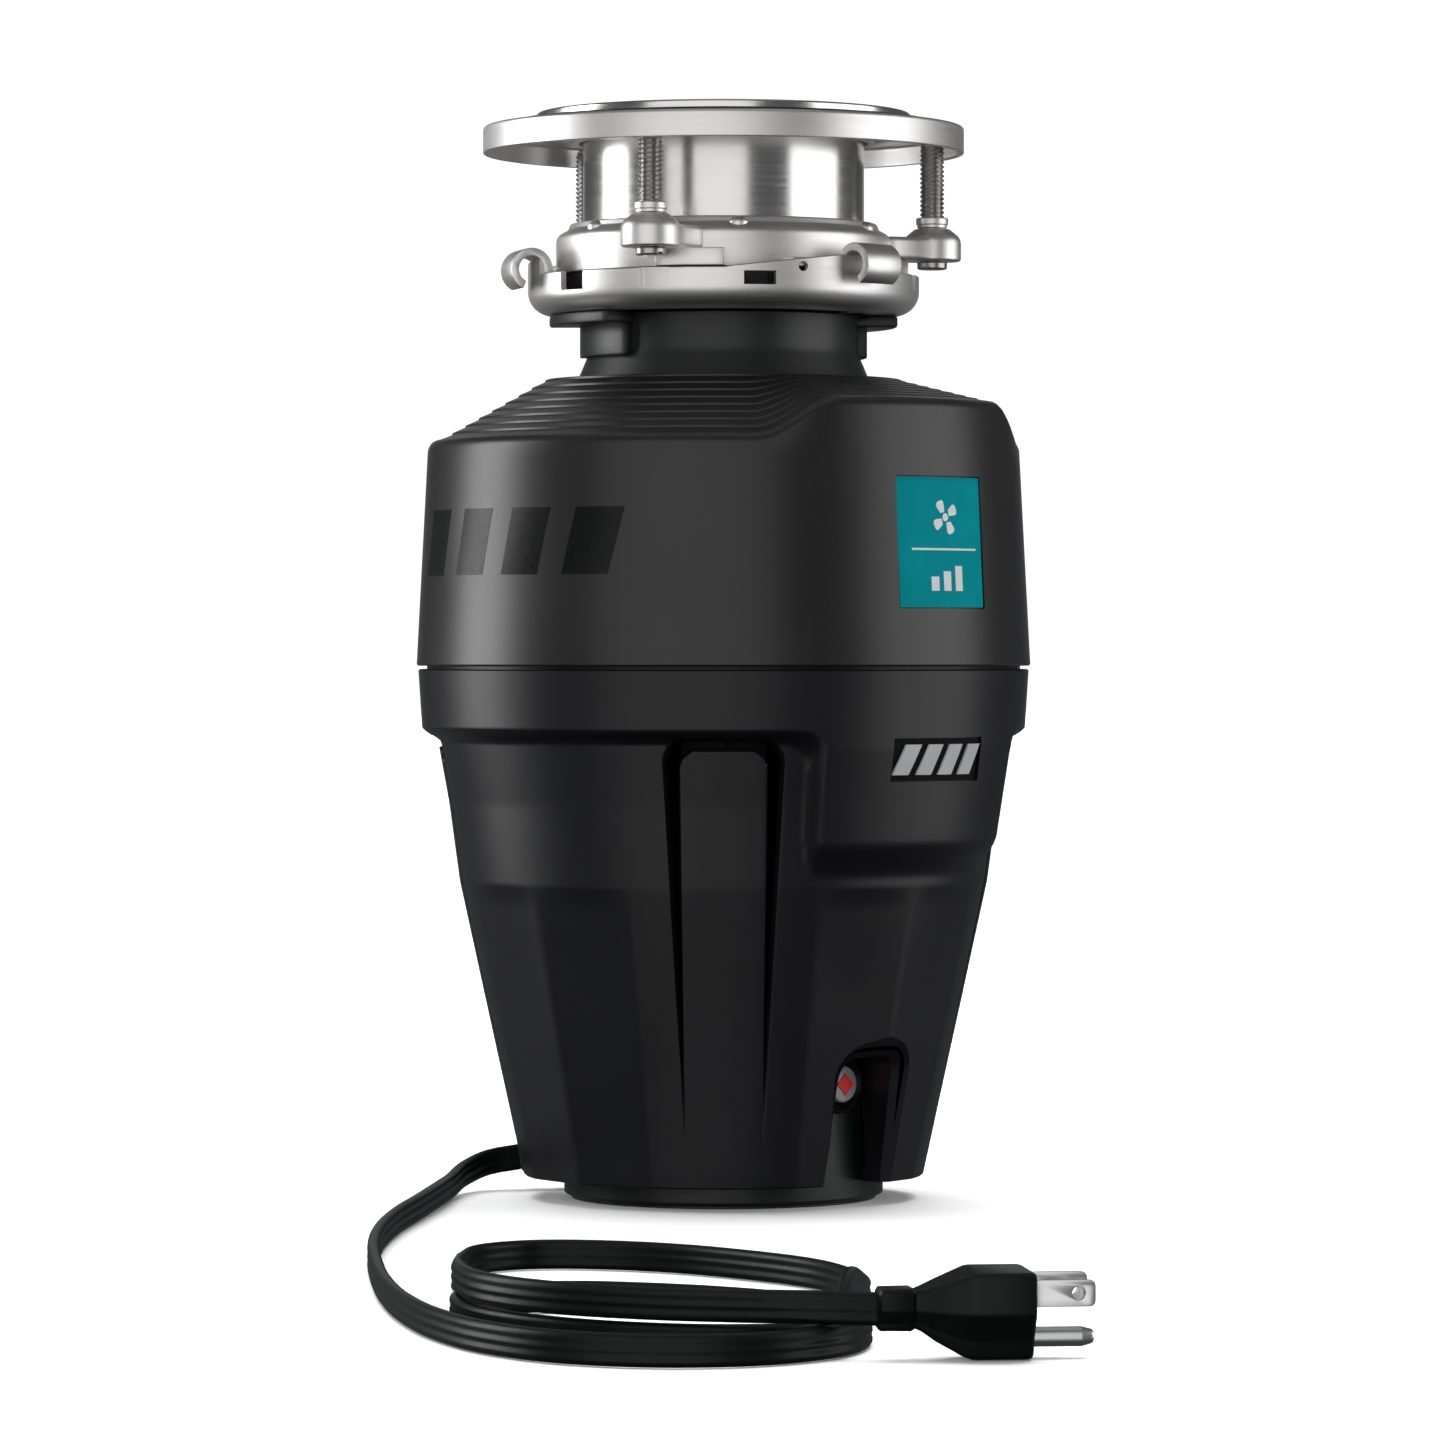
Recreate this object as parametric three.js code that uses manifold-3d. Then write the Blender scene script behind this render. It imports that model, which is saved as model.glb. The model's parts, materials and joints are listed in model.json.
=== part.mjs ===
// Kitchen garbage disposal: a three-bolt sink mount, the grind chamber and its permanent-magnet motor, two
// moulded trim shells and a flat mains lead with its plug.
// Millimetres, +Z up. The origin is the centre of the motor's flat foot, and the badge panel faces -Y.
import * as THREE from "three";
import { mergeVertices } from "three/addons/utils/BufferGeometryUtils.js";
import Module from "manifold-3d";

// ---- driving dimensions ----
const GAP = 0.3; // between pieces that touch
const FINE = 32; // facets round the shells
const ROUND = 24; // facets round the mount
const SMALL = 12; // facets round a shaft or a screw

const FOOT_R = 48.7; // motor can and end bell
const SHELL_FOOT_Z = 7;
const SEAM_Z = 161.8;
const SHELL_TOP_Z = 249.5;
const WALL = 2.5; // trim shell thickness
const NECK_R = 41;
const NECK_TOP_Z = 269;
const SLEEVE_R = 43;
const SUPPORT_TOP_Z = 326.8;
const SUPPORT_R = 73.5;
const SCREW_R = 65.3; // radius of the mounting screws' circle
const SCREW_ANGLES = [-34.35, 85.65, 205.65];
const EAR_ANGLES = [-90, 30, 150];
const EAR_R = 62;
const EAR_Z = 283;
const SWIVEL_R = 59.8; // outside of the lower mounting ring
const MOUNT_R = 51.2; // outside of the mounting ring
const PORT_Z = 196;
const SHAFT_R = 6;
const IMPELLER_R = 41; // pivot radius on the turntable
const BUTTON_Z = 36.7;
const FRONT = -90;
const REAR = 90;
const HOUSING_SCREW_R = 75.5;
const HOUSING_SCREW_ANGLES = [45, 135, 225, 315];
const THROUGH_BOLT_R = 42.4;

// ---- materials ----
const material = (color, roughness, metalness) =>
  new THREE.MeshStandardMaterial({ color, roughness, metalness });
const SATIN_METAL = material(0xc8c6c3, 0.32, 1);
const DARK_STEEL = material(0x6f6d6a, 0.4, 1);
const STAINLESS = material(0xbfc1c2, 0.25, 1);
const ALUMINIUM = material(0xa8aaac, 0.5, 1);
const COPPER = material(0xb06a3a, 0.4, 1);
const BRASS = material(0xc8a050, 0.35, 1);
const UPPER_PLASTIC = material(0x3a3a3c, 0.45, 0);
const LOWER_PLASTIC = material(0x232426, 0.5, 0);
const HOPPER_PLASTIC = material(0x2a2c2b, 0.5, 0);
const RUBBER = material(0x161616, 0.7, 0);
const FOAM = material(0xe8e8e4, 0.9, 0);
const MAGNET = material(0x3b3b3d, 0.6, 0.2);
const TEAL = material(0x00828c, 0.4, 0);
const BUTTON_GREY = material(0xb9bbbd, 0.4, 0);

const part = new THREE.Group();

// ---- geometry helpers ----
const wasm = await Module();
wasm.setup();

const rad = THREE.MathUtils.degToRad;

// A closed geometry as a manifold solid, with its faces turned outwards.
function closed(geometry) {
  const bare = new THREE.BufferGeometry();
  const flat = geometry.index ? geometry.toNonIndexed() : geometry;
  bare.setAttribute("position", flat.getAttribute("position"));
  const merged = mergeVertices(bare, 1e-4);
  const corners = merged.index.array;
  const triangles = [];
  for (let i = 0; i < corners.length; i += 3) {
    const [a, b, c] = [corners[i], corners[i + 1], corners[i + 2]];
    if (a !== b && b !== c && c !== a) triangles.push([a, b, c]);
  }
  const build = (list) =>
    new wasm.Manifold(
      new wasm.Mesh({
        numProp: 3,
        vertProperties: merged.attributes.position.array,
        triVerts: new Uint32Array(list.flat()),
      }),
    );
  const solid = build(triangles);
  return solid.volume() > 0 ? solid : build(triangles.map(([a, b, c]) => [a, c, b]));
}

function geometryOf(solid) {
  const mesh = solid.getMesh();
  return new THREE.BufferGeometry()
    .setAttribute("position", new THREE.BufferAttribute(mesh.vertProperties, 3))
    .setIndex(new THREE.BufferAttribute(mesh.triVerts, 1));
}

const join = (first, ...rest) =>
  geometryOf(rest.reduce((sum, g) => sum.add(closed(g)), closed(first)));
const cut = (first, ...tools) =>
  geometryOf(tools.reduce((left, g) => left.subtract(closed(g)), closed(first)));
const common = (a, b) => geometryOf(closed(a).intersect(closed(b)));

// A profile of [radius, height] points turned about Z. It closes on itself unless it ends on the axis.
function turned(profile, facets) {
  const first = profile[0];
  const last = profile[profile.length - 1];
  const loop = first[0] === 0 && last[0] === 0 ? profile : [...profile, first];
  const points = loop.map(([r, z]) => new THREE.Vector2(r, z));
  return new THREE.LatheGeometry(points, facets).rotateX(Math.PI / 2);
}

const disc = (r, z0, z1, facets = SMALL) =>
  turned([[0, z0], [r, z0], [r, z1], [0, z1]], facets);
const tube = (r0, r1, z0, z1, facets = SMALL) =>
  turned([[r0, z0], [r1, z0], [r1, z1], [r0, z1]], facets);

function block(x, y, z) {
  const sides = [x, y, z].map(([low, high]) => high - low);
  const centre = [x, y, z].map(([low, high]) => (low + high) / 2);
  return new THREE.BoxGeometry(...sides).translate(...centre);
}

// An outline in the XY plane, raised from z0 to z1.
function prism(shape, z0, z1, facets = 8) {
  const settings = { depth: z1 - z0, bevelEnabled: false, curveSegments: facets };
  return new THREE.ExtrudeGeometry(shape, settings).translate(0, 0, z0);
}

// A piece of ring between two radii, centred on the angle `at` and `span` degrees wide.
function sector(r0, r1, at, span, z0, z1, facets = 8) {
  const [a, b] = [rad(at - span / 2), rad(at + span / 2)];
  const shape = new THREE.Shape();
  shape.absarc(0, 0, r1, a, b, false);
  shape.absarc(0, 0, r0, b, a, true);
  return prism(shape, z0, z1, facets);
}

// The four holes for the screws that hold the hopper to the upper end frame.
const housingScrewHoles = () =>
  HOUSING_SCREW_ANGLES.map((a) => around(disc(2.3, 160, 185, 10).translate(HOUSING_SCREW_R, 0, 0), a));

// Moves a shape built on the +X side round to the given angle.
const around = (geometry, angle) => geometry.clone().rotateZ(rad(angle));

// Turns a shape built upright about Z so that its own axis points along +X.
const alongX = (geometry) => geometry.rotateY(Math.PI / 2);

function piece(name, geometry, look) {
  const mesh = new THREE.Mesh(geometry, look);
  mesh.name = name;
  part.add(mesh);
  return mesh;
}

// ---- sink flange, gasket and support ring ----
function sinkMountTop() {
  const inner = SLEEVE_R - 1.4;
  const grooveZ = 288.5;
  piece(
    "sink_flange",
    turned(
      [
        [inner, 284],
        [SLEEVE_R, 284],
        [SLEEVE_R, grooveZ],
        [SLEEVE_R - 0.7, grooveZ],
        [SLEEVE_R - 0.7, grooveZ + 2],
        [SLEEVE_R, grooveZ + 2],
        [SLEEVE_R, 326],
        [45.5, SUPPORT_TOP_Z + 1.4],
        [57.15, SUPPORT_TOP_Z + 1.4],
        [57.15, 330.6],
        [55.9, 331],
        [46, 329.4],
        [inner, 325.5],
      ],
      ROUND,
    ),
    SATIN_METAL,
  );
  const gap = block([38, 50], [-6, 6], [grooveZ - 1, grooveZ + 3]);
  const ring = tube(SLEEVE_R - 0.4, SLEEVE_R + 2.6, grooveZ + GAP, grooveZ + 1.7, ROUND);
  piece("snap_ring", cut(ring, gap), DARK_STEEL);
  piece("fiber_gasket", tube(47, 66, SUPPORT_TOP_Z + GAP, SUPPORT_TOP_Z + 1.1, ROUND), RUBBER);
  const rimZ = SUPPORT_TOP_Z - 8.2;
  piece(
    "support_ring",
    turned(
      [
        [SLEEVE_R + 1.2, SUPPORT_TOP_Z],
        [SLEEVE_R + 1.2, 321.5],
        [SLEEVE_R + 3, 321.5],
        [SLEEVE_R + 3, SUPPORT_TOP_Z - 1.8],
        [SUPPORT_R - 1.8, SUPPORT_TOP_Z - 1.8],
        [SUPPORT_R - 1.8, rimZ],
        [SUPPORT_R, rimZ],
        [SUPPORT_R, SUPPORT_TOP_Z - 1],
        [SUPPORT_R - 1, SUPPORT_TOP_Z],
      ],
      ROUND,
    ),
    SATIN_METAL,
  );
}

// ---- mounting ring with three tapped arms, and its screws ----
const ARM_TOP_Z = 296.5;
const ARM_FOOT_Z = 286.5;

function mountingRing() {
  const ring = turned(
    [
      [SLEEVE_R + 0.5, 290.8],
      [48.2, 290.8],
      [48.2, 281.5],
      [MOUNT_R, 281.5],
      [MOUNT_R, 293],
      [50, 294.8],
      [47.6, 297],
      [SLEEVE_R + 0.5, 297],
    ],
    ROUND,
  );
  const bossR = 8.9;
  const arm = block([49.5, SCREW_R], [-7.5, 7.5], [ARM_FOOT_Z, 294]);
  const boss = turned(
    [[0, ARM_FOOT_Z], [bossR, ARM_FOOT_Z], [bossR, 293.5], [6.4, ARM_TOP_Z], [0, ARM_TOP_Z]],
    SMALL,
  ).translate(SCREW_R, 0, 0);
  const hole = disc(4.3, ARM_FOOT_Z - 1, ARM_TOP_Z + 1).translate(SCREW_R, 0, 0);
  const lugFrom = EAR_ANGLES.map((ear) => ear - 16.5);
  const lugs = lugFrom.map((at) => sector(50.4, 57.2, at, 15, 281.5, 284.2, 2));
  const arms = SCREW_ANGLES.flatMap((a) => [around(arm, a), around(boss, a)]);
  const holes = SCREW_ANGLES.map((a) => around(hole, a));
  piece("mounting_ring", cut(join(ring, ...arms, ...lugs), ...holes), SATIN_METAL);
}

function mountingScrews() {
  const shankR = 3.9;
  const headR = 4.6;
  SCREW_ANGLES.forEach((angle, i) => {
    const screw = turned(
      [
        [0, 284.2],
        [headR - 0.5, 284.2],
        [headR, 284.7],
        [headR, ARM_FOOT_Z - GAP],
        [shankR, ARM_FOOT_Z - GAP],
        [shankR, ARM_TOP_Z + GAP],
        [5, ARM_TOP_Z + GAP],
        [5, ARM_TOP_Z + 3.4],
        [shankR, ARM_TOP_Z + 3.6],
        [shankR, 323.4],
        [2.6, SUPPORT_TOP_Z - 2.1],
        [0, SUPPORT_TOP_Z - 2.1],
      ],
      12,
    ).translate(SCREW_R, 0, 0);
    piece("mounting_screw_" + (i + 1), around(screw, angle), DARK_STEEL);
  });
}

// ---- lower mounting ring: a cup-edged ring that turns on the hopper's lugs, with three rolled ears ----
function lowerMountRing() {
  const wall = 2;
  const foot = NECK_TOP_Z + GAP;
  const bend = 7;
  const arc = (r, from, to) =>
    [0, 1, 2].map((i) => {
      const a = rad(from + ((to - from) * i) / 2);
      return [SWIVEL_R - bend + r * Math.cos(a), foot + bend + r * Math.sin(a)];
    });
  const ring = turned(
    [
      [46, foot],
      ...arc(bend, -90, 0),
      [SWIVEL_R, 281],
      [SWIVEL_R - wall, 281],
      ...arc(bend - wall, 0, -90),
      [46, foot + wall],
    ],
    ROUND,
  );
  const inside = SWIVEL_R - wall;
  const earTube = new THREE.Shape();
  earTube.absarc(0, 0, 6.5, rad(-45), rad(230), false);
  earTube.absarc(0, 0, 4.4, rad(230), rad(-45), true);
  // The ear's outline lies in the plane of the radius and Z, and is drawn out 14.5 along the tangent.
  const ear = prism(earTube, -7.25, 7.25, 7).rotateX(Math.PI / 2).translate(EAR_R, 0, EAR_Z);
  const bore = disc(5, -12, 12).rotateX(Math.PI / 2).translate(EAR_R, 0, EAR_Z);
  const rampCutter = block([-26, 14], [-12, 12], [0, 12]);
  const rampTilt = new THREE.Matrix4().makeRotationY(rad(7.5));
  const parts = [];
  for (const angle of EAR_ANGLES) {
    const ramp = sector(inside, SWIVEL_R, angle - 25, 37, 280.6, 286, 5);
    // The ramp's top falls away from the ear: the cutter's floor is a plane tilted along the tangent.
    const cutter = rampCutter
      .clone()
      .applyMatrix4(rampTilt)
      .rotateZ(rad(90))
      .translate(inside, 0, 285.2)
      .rotateZ(rad(angle - 16));
    parts.push(cut(ramp, cutter));
    parts.push(sector(53.2, SWIVEL_R - 1, angle - 15, 16, 284.6, 285.9, 2));
    parts.push(sector(inside, SWIVEL_R, angle, 12, 280.6, 286, 2));
  }
  const slots = [
    sector(54, 70, -155.1, 8.8, 277, 282, 1),
    sector(54, 70, -147, 5.5, 277, 282, 1),
    sector(54, 70, -124.5, 9.3, 277, 281.5, 1),
    sector(54, 70, -60, 3.5, 277, 282, 1),
  ];
  const bores = EAR_ANGLES.map((angle) => around(bore, angle));
  const ears = EAR_ANGLES.map((angle) => around(ear, angle));
  const pressed = cut(join(ring, ...parts), ...slots, ...bores);
  piece("lower_mount_ring", join(pressed, ...ears), SATIN_METAL);
}

// ---- rubber splash guard between the sleeve and the hopper ----
function splashGuard() {
  const body = turned(
    [
      [9, 272],
      [38, 274.6],
      [40.4, 271.9],
      [50.4, 271.9],
      [50.4, 281.1],
      [46.4, 281.1],
      [46.4, 285.5],
      [SLEEVE_R + GAP, 285.5],
      [SLEEVE_R + GAP, 283.6],
      [40.4, 283.6],
      [39, 276.6],
      [9, 273.8],
    ],
    ROUND,
  );
  const slit = block([-1, 34], [-0.6, 0.6], [270, 278]);
  const slits = [0, 1, 2, 3, 4, 5, 6, 7].map((i) => around(slit, 45 * i + 10));
  piece("splash_guard", cut(body, ...slits), RUBBER);
}

// ---- hopper: neck, grind housing, discharge port and dishwasher inlet in one moulding ----
function hopper() {
  const body = turned(
    [
      [38, NECK_TOP_Z],
      [38, 250],
      [63, 229.5],
      [68.2, 223],
      [68.2, 174.3],
      [80, 174.3],
      [80, 178],
      [70.9, 178],
      [70.9, 226],
      [65.6, 232],
      [43.6, 245.5],
      [43.1, 250.5],
      [NECK_R, 256],
      [NECK_R, NECK_TOP_Z],
    ],
    FINE,
  );
  const lugs = [159, -25, 67].flatMap((at) => [
    sector(NECK_R - 1, 53.2, at, 50, 265.6, NECK_TOP_Z, 5),
    sector(NECK_R - 1, NECK_R + 2.3, at, 50, 256.4, 266, 5),
  ]);
  const portOut = alongX(disc(21, 66, 98, 24)).rotateZ(rad(REAR)).translate(0, 0, PORT_Z);
  const portBore = alongX(disc(18.3, 60, 110, 24)).rotateZ(rad(REAR)).translate(0, 0, PORT_Z);
  const inletOut = alongX(disc(9, 39.5, 60)).rotateZ(rad(45)).translate(0, 0, 258.5);
  const inletBore = alongX(disc(6.5, 30, 70)).rotateZ(rad(45)).translate(0, 0, 258.5);
  const chamber = disc(68.2, 178, 222, FINE);
  const whole = join(body, ...lugs, inletOut, cut(portOut, chamber));
  piece("hopper", cut(whole, portBore, inletBore, ...housingScrewHoles()), HOPPER_PLASTIC);
  const plug = alongX(disc(6.2, 42, 46)).rotateZ(rad(45)).translate(0, 0, 258.5);
  piece("dishwasher_inlet_plug", plug, HOPPER_PLASTIC);
  const foam = tube(73, 87, 182, 221, ROUND);
  const clear = alongX(disc(22.5, 60, 110, 20)).rotateZ(rad(REAR)).translate(0, 0, PORT_Z);
  piece("foam_jacket", cut(foam, clear), FOAM);
}

// ---- grind ring, turntable and the two swivelling impellers ----
const TABLE_Z = 205;

function grindSet() {
  const ring = tube(64.6, 67.7, 203, 223, ROUND);
  const tooth = block([60, 70], [-2.2, 2.2], [202, 209]);
  const teeth = Array.from({ length: 12 }, (_, i) => around(tooth, 30 * i));
  piece("grind_ring", cut(ring, ...teeth), STAINLESS);

  const plate = disc(63.2, TABLE_Z, TABLE_Z + 2.4, ROUND);
  const hub = disc(14, 199, TABLE_Z + 1);
  const bore = disc(SHAFT_R + GAP, 190, 220);
  const drain = disc(2.6, 200, 210, 8).translate(52, 0, 0);
  const drains = [30, 90, 150, 210, 270, 330].map((a) => around(drain, a));
  const pinHole = disc(3.3, 200, 210, 12).translate(IMPELLER_R, 0, 0);
  const pinHoles = [0, 180].map((a) => around(pinHole, a));
  piece("turntable", cut(join(plate, hub), bore, ...drains, ...pinHoles), STAINLESS);

  const nutCorners = [0, 60, 120, 180, 240, 300].map(
    (a) => new THREE.Vector2(9.6 * Math.cos(rad(a)), 9.6 * Math.sin(rad(a))),
  );
  const nut = prism(
    new THREE.Shape(nutCorners),
    TABLE_Z + 2.7,
    TABLE_Z + 9,
  );
  piece("turntable_nut", cut(nut, disc(SHAFT_R + GAP, 200, 230)), DARK_STEEL);

  const arm = new THREE.Shape();
  arm.absarc(0, 0, 8, rad(90), rad(270), false);
  arm.lineTo(18, -6);
  arm.lineTo(18, 6);
  const low = TABLE_Z + 2.7;
  const foot = prism(arm, low, low + 3.2);
  const lug = block([11, 18], [-6, 6], [low + 3, low + 11]);
  const hole = disc(3.3, low - 1, low + 5, 12);
  const impeller = cut(join(foot, lug), hole);
  const pin = turned(
    [
      [0, TABLE_Z - 2.2],
      [5, TABLE_Z - 2.2],
      [5, TABLE_Z - GAP],
      [3, TABLE_Z - GAP],
      [3, low + 3.5],
      [5, low + 3.5],
      [5, low + 5],
      [0, low + 5.6],
    ],
    12,
  );
  [0, 180].forEach((angle, i) => {
    piece("impeller_" + (i + 1), around(impeller.clone().translate(IMPELLER_R, 0, 0), angle), STAINLESS);
    piece("impeller_pin_" + (i + 1), around(pin.clone().translate(IMPELLER_R, 0, 0), angle), STAINLESS);
  });
}

// ---- motor: shaft, bearings, frames, can, magnets, armature, commutator and brushes ----
const CAN_FOOT_Z = 56.3;
const CAN_TOP_Z = 150;

function shaftAndBearings() {
  piece("motor_shaft", disc(SHAFT_R, 14, 216), DARK_STEEL);
  piece("upper_bearing", tube(SHAFT_R + GAP, 15.7, 152, 161, 20), DARK_STEEL);
  piece("lower_bearing", tube(SHAFT_R + GAP, 11, 14.3, 22, 20), DARK_STEEL);
  piece("shaft_seal", tube(SHAFT_R + GAP, 11.7, 187, 193, 20), RUBBER);
  const frame = turned(
    [
      [9, 161.6],
      [16, 161.6],
      [16, CAN_TOP_Z + GAP],
      [19, CAN_TOP_Z + GAP],
      [19, 165],
      [38, 165],
      [38, CAN_TOP_Z + GAP],
      [FOOT_R, CAN_TOP_Z + GAP],
      [FOOT_R, 167],
      [80, 169],
      [80, 174],
      [66, 174],
      [20, 176],
      [15, 193.4],
      [12, 193.4],
      [12, 186.6],
      [9, 186.6],
    ],
    ROUND,
  );
  const boltHole = disc(2.9, 140, 163, 10).translate(THROUGH_BOLT_R, 0, 0);
  const boltHoles = [0, 180].map((a) => around(boltHole, a));
  piece("upper_end_frame", cut(frame, ...boltHoles, ...housingScrewHoles()), ALUMINIUM);
}

function housingScrews() {
  const bolt = turned(
    [[0, 164.4], [4.4, 164.4], [4.4, 168.3], [2, 168.3], [2, 178.4], [0, 178.4]],
    10,
  );
  HOUSING_SCREW_ANGLES.forEach((angle, i) => {
    const placed = around(bolt.clone().translate(HOUSING_SCREW_R, 0, 0), angle);
    piece("housing_screw_" + (i + 1), placed, DARK_STEEL);
  });
}

function motorBody() {
  piece("motor_can", tube(FOOT_R - 2.4, FOOT_R, CAN_FOOT_Z, CAN_TOP_Z, ROUND), LOWER_PLASTIC);
  [FRONT, REAR].forEach((at, i) => {
    piece("magnet_" + (i + 1), sector(40.4, 45.9, at, 130, 66, 134, 12), MAGNET);
  });
  const slotCount = 12;
  const coreR = 38.6;
  const slot = block([21.5, 32.5], [-3, 3], [60, 145]);
  const bar = block([21.8, 32.2], [-2.7, 2.7], [66, 134]);
  const angles = Array.from({ length: slotCount }, (_, i) => (360 / slotCount) * i);
  const core = tube(SHAFT_R + GAP, coreR, 72, 128, ROUND);
  piece("armature_core", cut(core, ...angles.map((a) => around(slot, a))), DARK_STEEL);
  const endTurns = [tube(15, 34, 62, 71.7, 24), tube(15, 34, 128.3, 138, 24)];
  piece("armature_windings", join(...endTurns, ...angles.map((a) => around(bar, a))), COPPER);
  piece("commutator", tube(SHAFT_R + GAP, 13.5, 42, 60, 24), COPPER);
}

function brushGear() {
  piece("brush_plate", tube(15.5, 38.5, 43, 45.4, ROUND), BRASS);
  const box = cut(
    block([15, 36.5], [-4.6, 4.6], [45.7, 55]),
    block([10, 34.9], [-3.3, 3.3], [47, 53.6]),
  );
  const brush = block([13.8, 25.5], [-3, 3], [47.3, 53.3]);
  const spring = alongX(tube(1.6, 2.6, 25.8, 34.6, 12)).translate(0, 0, 50.3);
  [0, 180].forEach((angle, i) => {
    piece("brush_holder_" + (i + 1), around(box, angle), BRASS);
    piece("brush_" + (i + 1), around(brush, angle), MAGNET);
    piece("brush_spring_" + (i + 1), around(spring, angle), DARK_STEEL);
  });
  const bolt = turned(
    [[0, 40], [3, 40], [3, 43], [2.2, 43], [2.2, 160], [0, 160]],
    10,
  ).translate(THROUGH_BOLT_R, 0, 0);
  [0, 180].forEach((angle, i) => piece("through_bolt_" + (i + 1), around(bolt, angle), DARK_STEEL));
}

// ---- end bell: the motor's black foot, with the reset button in front and the lead's boss behind ----
const CORD_HEADING = 150; // direction in which the lead leaves the foot
const CORD_EXIT = new THREE.Vector3(-7, 54, 10);

function endBell() {
  const cup = turned(
    [
      [0, 0],
      [FOOT_R, 0],
      [FOOT_R, 56],
      [FOOT_R - 3, 56],
      [FOOT_R - 3, 11],
      [15, 11],
      [15, 24],
      [11.3, 24],
      [11.3, 13.5],
      [0, 13.5],
    ],
    FINE,
  );
  const frontPocket = disc(9, 40, 60, 24).rotateX(Math.PI / 2).translate(0, 0, BUTTON_Z);
  const boss = block([-11, 0], [-7.5, 7.5], [1.5, 18.5])
    .rotateZ(rad(CORD_HEADING))
    .translate(CORD_EXIT.x, CORD_EXIT.y, 0);
  piece("motor_end_bell", cut(join(cup, boss), frontPocket), LOWER_PLASTIC);
}

// The button and its bezel are turned about Z and laid over so that +Z becomes -Y.
const facingFront = (geometry) => geometry.rotateX(Math.PI / 2).translate(0, 0, BUTTON_Z);

function resetButton() {
  const face = 51.8; // the button's face, ahead of the shaft's axis
  piece("reset_bezel", facingFront(tube(6, 8.7, 41, face - 1, 24)), HOPPER_PLASTIC);
  const button = turned([[0, 38.6], [5.6, 38.6], [5.6, face - 0.5], [5.1, face], [0, face]], 24);
  piece("reset_button", facingFront(button), BUTTON_GREY);
  piece("overload_protector", block([-10, 10], [-34.5, -24], [26, 42]), HOPPER_PLASTIC);
  piece("bridge_rectifier", block([-14, 14], [24, 33], [11.3, 31]), HOPPER_PLASTIC);
}

// ---- trim shells ----
// Outside profiles as [radius, height], from the foot upwards.
const LOWER_PROFILE = [
  [61, SHELL_FOOT_Z],
  [61.9, 11],
  [65.9, 29.5],
  [72.6, 60],
  [80.6, 96.8],
  [83.9, 121],
  [87.5, 139.6],
  [91.6, 143.5],
  [93.3, SEAM_Z - 0.5],
];
const UPPER_FOOT_R = 93.8;
const SHOULDER_R = 90.2;
const SHOULDER_Z = 231;
const CROWN_R = 54.6;
const STEPS = 8;
const PANEL_HALF = 28.7; // half the panel's angle
const BULGE_TOP_Z = 242;

const inward = (profile, by) => profile.map(([r, z]) => [r - by, z]);

// Terraces from the shoulder in to the crown.
function terraces(foot) {
  const points = [[SHOULDER_R, SHOULDER_Z]];
  for (let i = 1; i <= STEPS; i += 1) {
    const r = SHOULDER_R + ((CROWN_R - SHOULDER_R) * i) / STEPS;
    const z = SHOULDER_Z + ((SHELL_TOP_Z - SHOULDER_Z) * i) / STEPS;
    points.push([r, z - 1.6], [r, z]);
  }
  return [[UPPER_FOOT_R, foot], ...points, [NECK_R + 2.8, SHELL_TOP_Z]];
}

// A wedge of space either side of the front, out to beyond the shells.
const frontWedge = (half, z0, z1) => sector(20, 130, FRONT, 2 * half, z0, z1, 10);

function upperShell() {
  const outer = turned([...terraces(SEAM_Z + 0.5), [0, SHELL_TOP_Z], [0, SEAM_Z + 0.5]], FINE);
  const panel = common(
    turned([[60, 225], [SHOULDER_R + 0.3, 225], [89.9, BULGE_TOP_Z - 2], [87, BULGE_TOP_Z], [60, 247]], FINE),
    frontWedge(29, 220, 255),
  );
  const hollow = turned(
    [
      [0, SEAM_Z - 1],
      [UPPER_FOOT_R - WALL, SEAM_Z - 1],
      [SHOULDER_R - WALL, 227.5],
      [CROWN_R, SHELL_TOP_Z - 3.4],
      [0, SHELL_TOP_Z - 3.4],
    ],
    FINE,
  );
  const neckHole = disc(NECK_R + 2.8, 240, 260, FINE);
  const port = alongX(disc(22, 70, 110, 24)).rotateZ(rad(REAR)).translate(0, 0, PORT_Z);
  const pocket = common(surfaceBand(-1.3, 3, 170, 225), block([-17.6, 19.1], [-110, -60], [179.4, 218.6]));
  piece("upper_shell", cut(join(outer, panel), hollow, neckHole, port, pocket), UPPER_PLASTIC);
  const badge = common(surfaceBand(-1, -0.1, 170, 225), block([-17.3, 18.8], [-110, -60], [179.7, 218.3]));
  piece("badge", badge, TEAL);
}

// A band that follows the upper shell's sloping side, between two offsets from its surface.
function surfaceBand(inner, outer, z0, z1) {
  const slope = (UPPER_FOOT_R - SHOULDER_R) / (SHOULDER_Z - SEAM_Z);
  const side = (z) => UPPER_FOOT_R - slope * (z - SEAM_Z - 0.5);
  return turned(
    [[side(z0) + inner, z0], [side(z0) + outer, z0], [side(z1) + outer, z1], [side(z1) + inner, z1]],
    96,
  );
}

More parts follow.
